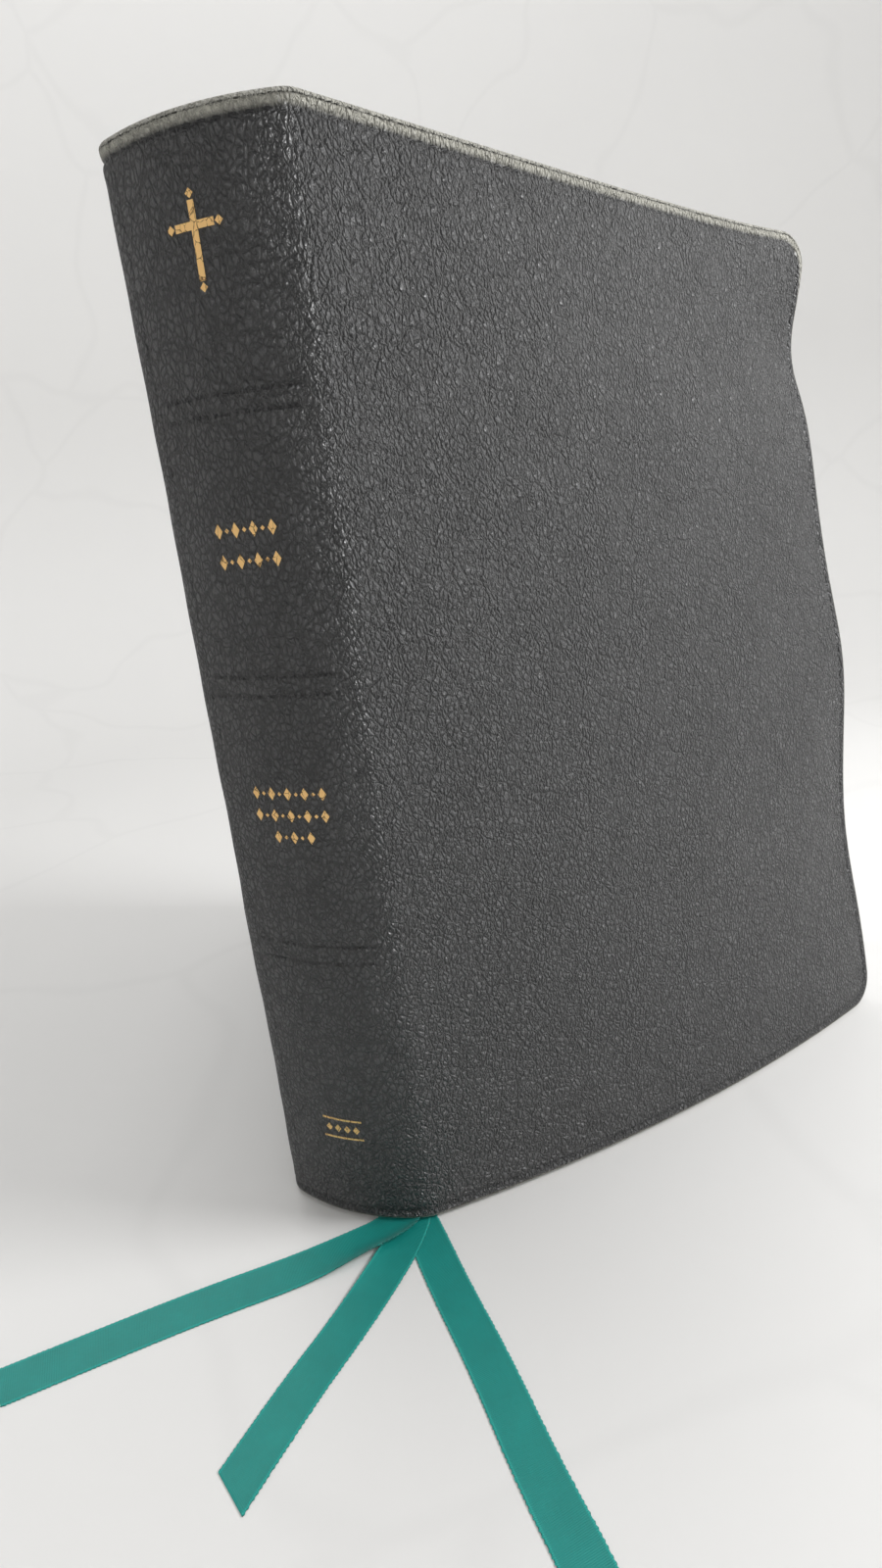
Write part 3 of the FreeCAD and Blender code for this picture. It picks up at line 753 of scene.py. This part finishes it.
def stitch_path(side):
    """Centre of every stitch along a cover's three edges: distance from the joint, height, heading."""
    c = case()
    inset, radius = c.stitch_inset, c.corner_radius - c.stitch_inset
    reach, start = c.cover_width - inset, 0.007
    straight = reach - radius - start
    corner = radius * math.pi / 2.0
    climb = c.cover_height - 2.0 * (inset + radius)
    total = 2.0 * (straight + corner) + climb
    count = int(total / c.stitch_pitch)
    found = []
    for k in range(count):
        at = (k + 0.5) * total / count
        mirrored = at > total / 2.0
        if mirrored:
            at = total - at
        if at < straight:
            spot, way = (start + at, inset), 0.0
        elif at < straight + corner:
            way = (at - straight) / radius
            spot = (reach - radius + radius * math.sin(way), inset + radius * (1.0 - math.cos(way)))
        else:
            spot, way = (reach, inset + radius + at - straight - corner), math.pi / 2.0
        if mirrored:
            spot, way = (spot[0], c.cover_height - spot[1]), math.pi - way
        found.append((*spot, way))
    return found


def stitch_row(name, body, places, to_run, replaced):
    """Separate stitches, each a short swollen length of thread sunk in the groove."""
    c = case()
    half, radius, sides = c.stitch_pitch * 0.40, 0.00029, 6
    profile = ((-1.0, 0.25), (-0.82, 0.72), (-0.4, 1.0), (0.0, 1.06), (0.4, 1.0), (0.82, 0.72), (1.0, 0.25))
    points, faces, flat = [], [], []
    for k, (along, height, way) in enumerate(places):
        slant = way + 0.12
        base = len(points)
        run = np.array([to_run(along + math.cos(slant) * half * t) for t, _ in profile])
        level = np.array([height + math.sin(slant) * half * t for t, _ in profile])
        dip = np.array([0.00012 + 0.00030 * abs(t) ** 3 for t, _ in profile])
        relief = outer_relief(run, level)
        centre = wrap(run, level, np.minimum(relief, 0.00026) + dip - 0.00006)
        out = centre - wrap(run, level, np.full(len(run), 0.004))
        out /= np.linalg.norm(out, axis=1, keepdims=True)
        heading = np.gradient(centre, axis=0)
        heading /= np.linalg.norm(heading, axis=1, keepdims=True)
        across = np.cross(heading, out)
        for i, (t, swell) in enumerate(profile):
            for s in range(sides):
                a = 2.0 * math.pi * s / sides
                oval = across[i] * math.cos(a) * 1.1 + out[i] * math.sin(a) * 0.8
                points.append(centre[i] + oval * radius * swell)
                flat.append((k * 0.01 + half * t, radius * a))
        rings = len(profile)
        for i in range(rings - 1):
            for s in range(sides):
                a, b = base + i * sides + s, base + i * sides + (s + 1) % sides
                faces.append((a, b, b + sides, a + sides))
        faces.append(tuple(base + s for s in reversed(range(sides))))
        faces.append(tuple(base + (rings - 1) * sides + s for s in range(sides)))
    piece = new_piece(name, points, faces, flat, [finish_of("thread", waxed_thread)])
    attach(piece, body)
    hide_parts(*replaced)
    return piece


# ---------------------------------------------------------------- gold on the spine

def foil_patch(points, faces, flat, outline, height):
    """Adds one convex foil shape, given as run and height offsets in millimetres."""
    c = case()
    middle = c.spine_width / 2.0
    corners = []
    for (x0, z0), (x1, z1) in zip(outline, outline[1:] + outline[:1]):
        count = max(int(math.hypot(x1 - x0, z1 - z0) / 0.8), 1)
        corners += [(x0 + (x1 - x0) * i / count, z0 + (z1 - z0) * i / count) for i in range(count)]
    base = len(points)
    run = np.array([middle + x * MM for x, z in corners])
    level = np.array([(height + z) * MM for x, z in corners])
    top = wrap(run, level, outer_relief(run, level) - 0.00007)
    foot = wrap(run, level, outer_relief(run, level) + 0.00012)
    centre_run, centre_level = np.array([run.mean()]), np.array([level.mean()])
    crown = wrap(centre_run, centre_level, outer_relief(centre_run, centre_level) - 0.00007)
    points += list(top) + list(foot) + list(crown)
    flat += list(zip(run, level)) + list(zip(run, level)) + [(run.mean(), level.mean())]
    n = len(corners)
    for i in range(n):
        j = (i + 1) % n
        faces.append((base + i, base + j, base + 2 * n))
        faces.append((base + j, base + i, base + n + i, base + n + j))


def bar(x, z, width, height):
    """A rectangle's outline about a centre."""
    return [(x - width / 2, z - height / 2), (x - width / 2, z + height / 2),
            (x + width / 2, z + height / 2), (x + width / 2, z - height / 2)]


def lozenge(x, z, width, height):
    """A diamond's outline about a centre."""
    return [(x - width / 2, z), (x, z + height / 2), (x + width / 2, z), (x, z - height / 2)]


def split_bar(x, z, width, height):
    """A long rule cut into short runs so that it bends with the spine."""
    count = max(int(width / 2.0), 1)
    piece = width / count
    return [bar(x - width / 2 + piece * (i + 0.5), z, piece, height) for i in range(count)]


def beaded_row(z, count, height):
    """A row of lozenges, tall and small by turns."""
    pitch, tall, small = 2.05, (1.9, 3.0), (1.0, 1.0)
    middle = (count - 1) / 2.0
    return [(lozenge((k - middle) * pitch, z, *(tall if k % 2 == 0 else small)), height)
            for k in range(count)]


def foil_shapes():
    """Generic ornaments: a plain cross, and rules with lozenges."""
    cross_level, upper_level, lower_level, foot_level = 225.8, 173.3, 115.4, 28.6
    cross = [(bar(0.0, -0.6, 1.3, 12.4), cross_level)]
    cross += [(shape, cross_level) for shape in split_bar(0.0, 1.8, 8.0, 1.3)]
    for x, z in ((0.0, 6.6), (0.0, -7.8), (-5.0, 1.8), (5.0, 1.8)):
        cross.append((lozenge(x, z, 1.6, 1.6), cross_level))
    upper = [shape for z in (3.0, -3.0) for shape in beaded_row(z, 7, upper_level)]
    lower = [shape for z, count in ((5.2, 9), (0.0, 9), (-5.2, 5))
             for shape in beaded_row(z, count, lower_level)]
    foot = [(lozenge(x, 0.0, 1.8, 2.4), foot_level) for x in (-3.8, -1.3, 1.3, 3.8)]
    for z in (2.9, -2.9):
        foot += [(shape, foot_level) for shape in split_bar(0.0, z, 11.0, 0.55)]
    return {"foil_cross": cross, "foil_upper_panel": upper, "foil_middle_panel": lower, "foil_foot": foot}


# ---------------------------------------------------------------- leaves

def leaf_stack(name, body, seat, sign, angle, profile, count, finishes, replaced, seed):
    """Thin slabs of leaves, one on another, inside one bundle's outline."""
    b = block()
    draw = np.random.default_rng(seed)
    low = case().tail_lift + (case().cover_height - b.leaf_height) / 2.0
    tall, radius = b.leaf_height, b.leaf_corner
    start, full = profile[0], profile[1]
    cosine, sine = math.cos(angle), math.sin(angle)
    home = offset() + np.array([b.block_back, seat, 0.0])
    arc = np.linspace(math.pi / 2.0, 0.0, 9)
    points, faces, flat, finish_index = [], [], [], []
    for k in range(count):
        trim = draw.uniform(0.0, 0.00022)
        reach = b.leaf_width - trim
        spots = [start + (full - start) * t for t in (0.0, 0.5, 1.0)]
        spots += list(np.linspace(full, reach - radius, 6))[1:]
        spots += list(reach - radius + radius * np.cos(arc[1:]))
        drops = [0.0] * (len(spots) - 8) + list(radius * (1.0 - np.sin(arc[1:])))
        trim_z = draw.uniform(0.0, 0.00012)
        base = len(points)
        gap = 0.000035
        for x, drop in zip(spots, drops):
            swell = min(max((x - start) / max(full - start, 1e-9), 0.0), 1.0)
            thick = profile[2] + (profile[3] - profile[2]) * swell
            near, far = thick * k / count + gap, thick * (k + 1) / count - gap
            for depth, z in ((near, low + trim_z + drop), (far, low + trim_z + drop),
                             (far, low + tall - trim_z - drop), (near, low + tall - trim_z - drop)):
                y = sign * depth
                points.append(home + np.array([x * cosine - y * sine, x * sine + y * cosine, z]))
                flat.append((x + (0.3 if depth == far else 0.0), z))
        n = len(spots)
        for i in range(n - 1):
            for s in range(4):
                a, c = base + i * 4 + s, base + i * 4 + (s + 1) % 4
                face = (a, c, c + 4, a + 4)
                faces.append(face if sign > 0 else face[::-1])
                finish_index.append(1 if s in (0, 2) else 0)
        end = base + (n - 1) * 4
        for cap, way in (((base, base + 3, base + 2, base + 1), 0), ((end, end + 1, end + 2, end + 3), 1)):
            faces.append(cap if sign > 0 else cap[::-1])
            finish_index.append(way)
    piece = new_piece(name, points, faces, flat, finishes, finish_index, smooth=False)
    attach(piece, body)
    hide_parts(replaced)
    return piece


def bundle_seat(index):
    """Where a bundle's outer face lies, from the outer face of the shut cover."""
    b = block()
    return b.flyleaf_seat + b.flyleaf + b.bundle_gap + index * (b.bundle + b.bundle_gap)


# ---------------------------------------------------------------- ribbons

ROUTES = {
    "ribbon_left": [(11, 9, 2), (2, 6, 2), (-6, 9.5, 2), (-13, 17, 1.4), (-23, 28.5, 0.4),
                    (-36, 45.5, 0), (-50, 62, 0), (-66, 80.5, 0)],
    "ribbon_middle": [(12, 8.5, 1), (2, 5, 1), (-8, 4.5, 1), (-20, 6.5, 0.3), (-34, 9.6, 0),
                      (-50, 13.8, 0), (-69, 17.4, 0)],
    "ribbon_right": [(11, 13, 0), (3, 6.5, 0), (-6, -1.6, 0), (-17, -11, 0), (-32, -25.2, 0),
                     (-49, -39.5, 0), (-63, -53, 0), (-79, -66, 0)],
}


def route_line(name):
    """Points read from the smooth line that a marker's route steers."""
    b = block()
    route = [(x * MM, y * MM, b.ribbon / 2.0 + level * b.ribbon_step) for x, y, level in ROUTES[name]]
    curve = bpy.data.curves.new(name + "_line", "CURVE")
    curve.dimensions = "3D"
    spline = curve.splines.new("NURBS")
    spline.points.add(len(route) - 1)
    home = offset()
    for point, (x, y, z) in zip(spline.points, route):
        point.co = (x + home[0], y + home[1], z, 1.0)
    spline.order_u = 3
    spline.use_endpoint_u = True
    spline.resolution_u = 24
    holder = bpy.data.objects.new(name + "_line", curve)
    bpy.context.scene.collection.objects.link(holder)
    bpy.context.view_layer.update()
    evaluated = holder.evaluated_get(bpy.context.evaluated_depsgraph_get())
    line = bpy.data.meshes.new_from_object(evaluated)
    found = np.array([v.co[:] for v in line.vertices])
    bpy.data.objects.remove(holder)
    bpy.data.curves.remove(curve)
    bpy.data.meshes.remove(line)
    return found


def even_line(points, step):
    """The same line with points a fixed step apart, and the length along it."""
    gaps = np.linalg.norm(np.diff(points, axis=0), axis=1)
    along = np.concatenate([[0.0], np.cumsum(gaps)])
    count = int(along[-1] / step) + 1
    marks = np.linspace(0.0, along[-1], count)
    return np.stack([np.interp(marks, along, points[:, k]) for k in range(3)], axis=1), marks


def ribbon_marker(name, slant, curl):
    """A satin ribbon with picot edges that follows its route on the floor.

    Slant skews its cut end; curl holds the height, middle and spread of a lifted edge and its side.
    """
    b = block()
    path = route_line(name)
    line, marks = even_line(path, 0.0005)
    heading = np.gradient(line, axis=0)
    heading[:, 2] = 0.0
    heading /= np.linalg.norm(heading, axis=1, keepdims=True)
    sideways = np.cross(np.array([0.0, 0.0, 1.0]), heading)
    half = b.ribbon_width / 2.0
    across = np.array([-1.0, -0.955, -0.9, -0.84, -0.6, -0.3, 0.0, 0.3, 0.6, 0.84, 0.9, 0.955, 1.0])
    thick = b.ribbon / 2.0
    rows, columns = len(line), len(across)
    picot = 0.00016 * (1.0 + np.sign(np.sin(marks * 2.0 * math.pi / 0.0011)))
    height, middle, spread, side = curl
    lift = height * rise(marks, middle, spread)
    points, flat, edge_band = [], [], []
    for face in (1.0, -1.0):
        for i in range(rows):
            for s in across:
                edge = abs(s) > 0.97
                reach = s * half - math.copysign(picot[i] if edge else 0.0, s)
                shift = slant * reach * min(max((marks[i] - marks[-1] + 0.02) / 0.02, 0.0), 1.0)
                body = thick * (1.35 if 0.88 < abs(s) < 0.97 else 1.0) * (0.55 if edge else 1.0)
                curled = lift[i] * max(s * side, 0.0) ** 2
                spot = line[i] + sideways[i] * reach + heading[i] * shift
                spot = spot + np.array([0.0, 0.0, face * body + curled])
                spot[2] = max(spot[2], 0.00001)
                points.append(spot)
                flat.append((marks[i], reach + (0.05 if face < 0 else 0.0)))
                edge_band.append(1.0 if abs(s) > 0.85 else 0.0)
    total = rows * columns
    faces = grid_faces(0, rows, columns, True) + grid_faces(total, rows, columns)
    for i in range(rows - 1):
        a = i * columns
        faces.append((a, a + columns, a + columns + total, a + total))
        a += columns - 1
        faces.append((a + total, a + columns + total, a + columns, a))
    for j in range(columns - 1):
        faces.append((j + 1, j, j + total, j + 1 + total))
        a = (rows - 1) * columns + j
        faces.append((a, a + 1, a + 1 + total, a + total))
    piece = new_piece(name + "_satin", points, faces, flat, [finish_of("ribbon", satin_ribbon)], edge_band=edge_band)
    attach(piece, BLOCK)
    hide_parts(name)
    return piece


# ---------------------------------------------------------------- headbands

def wound_headband(name, level):
    """Silk wound over a cord."""
    b = block()
    seat = bundle_seat(0)
    span = case().spine_width - 2.0 * seat
    rows, sides = int(span / 0.00012), 14
    home = offset() + np.array([b.block_back - b.headband - 0.0002, seat, level])
    points, flat, faces = [], [], []
    for i in range(rows + 1):
        y = span * i / rows
        ridge = 0.00007 * math.cos(2.0 * math.pi * y / 0.0004)
        end = min(1.0, 0.35 + min(y, span - y) / 0.0008)
        for s in range(sides):
            a = 2.0 * math.pi * s / sides
            r = (b.headband - 0.00008 + ridge) * end
            points.append(home + np.array([r * math.cos(a), y, r * math.sin(a)]))
            flat.append((y + 0.00005 * a, a * b.headband))
    for i in range(rows):
        for s in range(sides):
            a, c = i * sides + s, i * sides + (s + 1) % sides
            faces.append((a, a + sides, c + sides, c))
    faces.append(tuple(range(sides)))
    faces.append(tuple(rows * sides + s for s in reversed(range(sides))))
    piece = new_piece(name + "_silk", points, faces, flat, [finish_of("silk", wound_silk)])
    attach(piece, BLOCK)
    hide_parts(name)
    return piece


# ---------------------------------------------------------------- operators

class BuildStage(bpy.types.Operator):
    """Make the camera, the pale sweep and the soft light"""
    bl_idname = "bible.stage"
    bl_label = "Stage"

    def execute(self, context):
        stage = context.scene.bible_stage
        camera = bpy.data.objects.new("camera", bpy.data.cameras.new("camera"))
        context.scene.collection.objects.link(camera)
        camera.data.lens = stage.lens
        camera.data.sensor_width = 36.0
        camera.data.clip_start = 0.01
        right, down, forward = Vector(CAMERA_RIGHT), Vector(CAMERA_DOWN), Vector(CAMERA_FORWARD)
        place = Vector(CAMERA_PLACE) + Vector(offset())
        camera.matrix_world = Matrix((
            (right.x, -down.x, -forward.x, place.x), (right.y, -down.y, -forward.y, place.y),
            (right.z, -down.z, -forward.z, place.z), (0.0, 0.0, 0.0, 1.0)))
        context.scene.camera = camera
        self.sweep(stage)
        self.lights(context)
        return {"FINISHED"}

    def sweep(self, stage):
        """A round floor that bends up into a backdrop all round."""
        profile = [(0.0, 0.0), (stage.floor_radius * 0.5, 0.0), (stage.floor_radius, 0.0)]
        for k in range(1, 17):
            a = math.pi / 2.0 * k / 16.0
            profile.append((stage.floor_radius + stage.sweep_radius * math.sin(a),
                            stage.sweep_radius * (1.0 - math.cos(a))))
        profile.append((stage.floor_radius + stage.sweep_radius, stage.backdrop_height))
        around = 96
        points = [(0.0, 0.0, 0.0)]
        for r, z in profile[1:]:
            for k in range(around):
                a = 2.0 * math.pi * k / around
                points.append((r * math.cos(a), r * math.sin(a), z - 0.00002))
        points[0] = (0.0, 0.0, -0.00002)
        faces = [(0, 1 + k, 1 + (k + 1) % around) for k in range(around)]
        for i in range(len(profile) - 2):
            for k in range(around):
                a, b = 1 + i * around + k, 1 + i * around + (k + 1) % around
                faces.append((a, a + around, b + around, b))
        floor = new_piece("floor", points, faces, [(p[0], p[1]) for p in points],
                          [finish_of("floor", pale_floor)])

    def lights(self, context):
        """A broad soft light overhead, a low soft light by the front cover and a pale surround."""
        world = bpy.data.worlds.new("surround")
        world.use_nodes = True
        background = world.node_tree.nodes["Background"]
        background.inputs["Color"].default_value = SURROUND_COLOUR
        background.inputs["Strength"].default_value = SURROUND_STRENGTH
        context.scene.world = world
        context.scene.view_settings.view_transform = "Standard"
        for name, place, aim, size, power in LIGHTS:
            lamp = bpy.data.lights.new(name, "AREA")
            lamp.shape = "DISK"
            lamp.size = size
            lamp.energy = power
            holder = bpy.data.objects.new(name, lamp)
            holder.location = place
            holder.rotation_mode = "QUATERNION"
            holder.rotation_quaternion = (Vector(aim) - Vector(place)).to_track_quat("-Z", "Y")
            holder.visible_camera = False
            context.scene.collection.objects.link(holder)


class BuildRibbons(bpy.types.Operator):
    """Make the three ribbon markers that lie on the floor"""
    bl_idname = "bible.ribbons"
    bl_label = "Ribbon markers"

    def execute(self, context):
        ribbon_marker("ribbon_right", slant=0.0, curl=(0.0, 0.02, 0.01, 1.0))
        ribbon_marker("ribbon_middle", slant=0.35, curl=(0.0006, 0.03, 0.012, -1.0))
        ribbon_marker("ribbon_left", slant=-0.2, curl=(0.0024, 0.022, 0.012, 1.0))
        weave = finish_of("bank", woven, "ribbon_weave", tuple(colours().ribbon), 0.002, 0.05, 0.45)
        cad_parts["ribbon_bank"].data.materials[0] = weave
        return {"FINISHED"}


class BuildCase(bpy.types.Operator):
    """Make the goatskin of the spine, joints and covers"""
    bl_idname = "bible.case"
    bl_label = "Leather case"

    def execute(self, context):
        c = case()
        leather = finish_of("leather", pebbled_leather)
        seam = c.spine_width - BACK_SEAM
        front = shell_sheet("front_case", "front", seam, 0.0, (0.0, c.shell), c.rim, leather, outer_relief)
        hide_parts("front_leather", "spine_leather")
        back = shell_sheet("back_case", "back", BACK_SEAM, 0.0, (0.0, c.shell), c.rim, leather, outer_relief)
        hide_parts("back_leather")
        for piece, side in ((front, "front"), (back, "back")):
            bend_at_joint(piece, side)
        return {"FINISHED"}


class BuildLinings(bpy.types.Operator):
    """Make the smooth linings and dress the boards"""
    bl_idname = "bible.linings"
    bl_label = "Linings and boards"

    def execute(self, context):
        c = case()
        leather = finish_of("lining", smooth_leather)
        depths = (c.shell - DOUBLURE_OVERLAP, c.shell + c.lining)
        for side in SIDES:
            piece = shell_sheet(side + "_doublure", side, -DOUBLURE_START, DOUBLURE_MARGIN, depths,
                                DOUBLURE_RIM, leather, arc_steps=12)
            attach(piece, side + "_cover")
            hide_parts(side + "_lining")
        board = finish_of("board", pressed_fibre, "grey_board", tuple(colours().board), 0.05)
        kraft = finish_of("kraft", pressed_fibre, "kraft_paper", tuple(colours().kraft), 0.03)
        gauze = finish_of("gauze", woven, "starched_gauze", tuple(colours().gauze), 0.0011, 0.1, 0.85)
        linen = finish_of("linen", woven, "linen_thread", tuple(colours().linen), 0.0006, 0.08, 0.8)
        spine = finish_of("spine_lining", pressed_fibre, "spine_lining_leather",
                          tuple(colours().lining), 0.04)
        for node, finish in (("front_board", board), ("back_board", board), ("spine_stiffener", board),
                             ("spine_paper", kraft), ("spine_mull", gauze), ("sewing_thread", linen),
                             ("spine_lining", spine)):
            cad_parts[node].data.materials[0] = finish
        return {"FINISHED"}


class BuildStitching(bpy.types.Operator):
    """Make every stitch round the covers and across the spine"""
    bl_idname = "bible.stitching"
    bl_label = "Stitching"

    def execute(self, context):
        c = case()
        stitch_row("front_stitches", "front_cover", stitch_path("front"),
                   lambda along: -along, ["front_stitching"])
        stitch_row("back_stitches", "back_cover", stitch_path("back"),
                   lambda along: c.spine_width + along, ["back_stitching"])
        inset = 0.0025
        span = c.spine_width - 2.0 * inset
        count = int(span / c.stitch_pitch)
        spots = [inset + (k + 0.5) * span / count for k in range(count)]
        rows = [(x, level, 0.0) for level in (c.stitch_inset, c.cover_height - c.stitch_inset) for x in spots]
        stitch_row("spine_stitches", BLOCK, rows, lambda along: along,
                   ["spine_stitch_head", "spine_stitch_tail"])
        return {"FINISHED"}


class BuildFoil(bpy.types.Operator):
    """Press the gold ornaments into the spine"""
    bl_idname = "bible.foil"
    bl_label = "Gold ornaments"

    def execute(self, context):
        for name, shapes in foil_shapes().items():
            points, faces, flat = [], [], []
            for outline, height in shapes:
                foil_patch(points, faces, flat, outline, height)
            piece = new_piece(name, points, faces, flat, [finish_of("foil", gold_foil)], smooth=False)
            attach(piece, BLOCK)
        return {"FINISHED"}


class BuildLeaves(bpy.types.Operator):
    """Make the gilt leaves, the endpapers and the headbands"""
    bl_idname = "bible.leaves"
    bl_label = "Leaves"

    def execute(self, context):
        b, c = block(), case()
        leaves = [finish_of("paper", leaf_paper), finish_of("gilt", gilt_edge)]
        black = finish_of("endpaper", endpaper)
        core_seat = bundle_seat(BUNDLES) + 4.0 * b.ribbon
        thick = c.spine_width - 2.0 * bundle_seat(BUNDLES) - 4.0 * b.ribbon - b.bundle_gap
        leaf_stack("core_leaves", BLOCK, core_seat, 1, 0.0, (0.0, 0.001, thick, thick),
                   22, leaves, "leaves_core", 3)
        for number, side in enumerate(SIDES):
            way = 1 if side == "front" else -1
            opening = getattr(c, side + "_open")

            def seat(depth):
                return depth if side == "front" else c.spine_width - depth

            leaf_stack(side + "_endpaper_sheet", side + "_endpaper", seat(b.flyleaf_seat), way,
                       -way * FLYLEAF_RATIO * opening,
                       (b.hinge_gap * 1.5, b.fold_taper, b.flyleaf, b.flyleaf), 1, [black, black],
                       side + "_flyleaf", 5 + number)
            for index, ratio in enumerate(BUNDLE_RATIOS):
                leaf_stack("%s_bundle_leaves_%d" % (side, index + 1), "%s_bundle_%d" % (side, index + 1),
                           seat(bundle_seat(index)), way, -way * ratio * opening,
                           (b.hinge_gap, b.fold_taper, b.fold_thickness, b.bundle), 5, leaves,
                           "%s_leaves_%d" % (side, index + 1), 11 + 7 * number + index)
        low = c.tail_lift + (c.cover_height - b.leaf_height) / 2.0
        wound_headband("headband_tail", low)
        wound_headband("headband_head", low + b.leaf_height)
        return {"FINISHED"}


class BiblePanel(bpy.types.Panel):
    """Lists the pieces of the bible"""
    bl_label = "Limp leather bible"
    bl_idname = "VIEW3D_PT_bible"
    bl_space_type = "VIEW_3D"
    bl_region_type = "UI"
    bl_category = "Bible"

    def draw(self, context):
        for operator in OPERATORS:
            self.layout.operator(operator.bl_idname)
        for group in (context.scene.bible_case, context.scene.bible_block,
                      context.scene.bible_colours, context.scene.bible_stage):
            box = self.layout.box()
            for key in group.__annotations__:
                box.prop(group, key)


OPERATORS = (BuildStage, BuildRibbons, BuildCase, BuildLinings, BuildStitching, BuildFoil, BuildLeaves)
GROUPS = {"bible_case": CaseSizes, "bible_block": BlockSizes,
          "bible_colours": Colours, "bible_stage": StageSizes}


def register():
    """Adds the property groups, operators and panel."""
    for kind in (*GROUPS.values(), *OPERATORS, BiblePanel):
        bpy.utils.register_class(kind)
    for key, group in GROUPS.items():
        setattr(bpy.types.Scene, key, PointerProperty(type=group))


def unregister():
    """Takes them away again."""
    for key in GROUPS:
        delattr(bpy.types.Scene, key)
    for kind in reversed((*GROUPS.values(), *OPERATORS, BiblePanel)):
        bpy.utils.unregister_class(kind)


def main():
    """Builds everything in order."""
    register()
    for name in ("stage", "ribbons", "case", "linings", "stitching", "foil", "leaves"):
        getattr(bpy.ops.bible, name)()


if __name__ == "__main__":
    main()
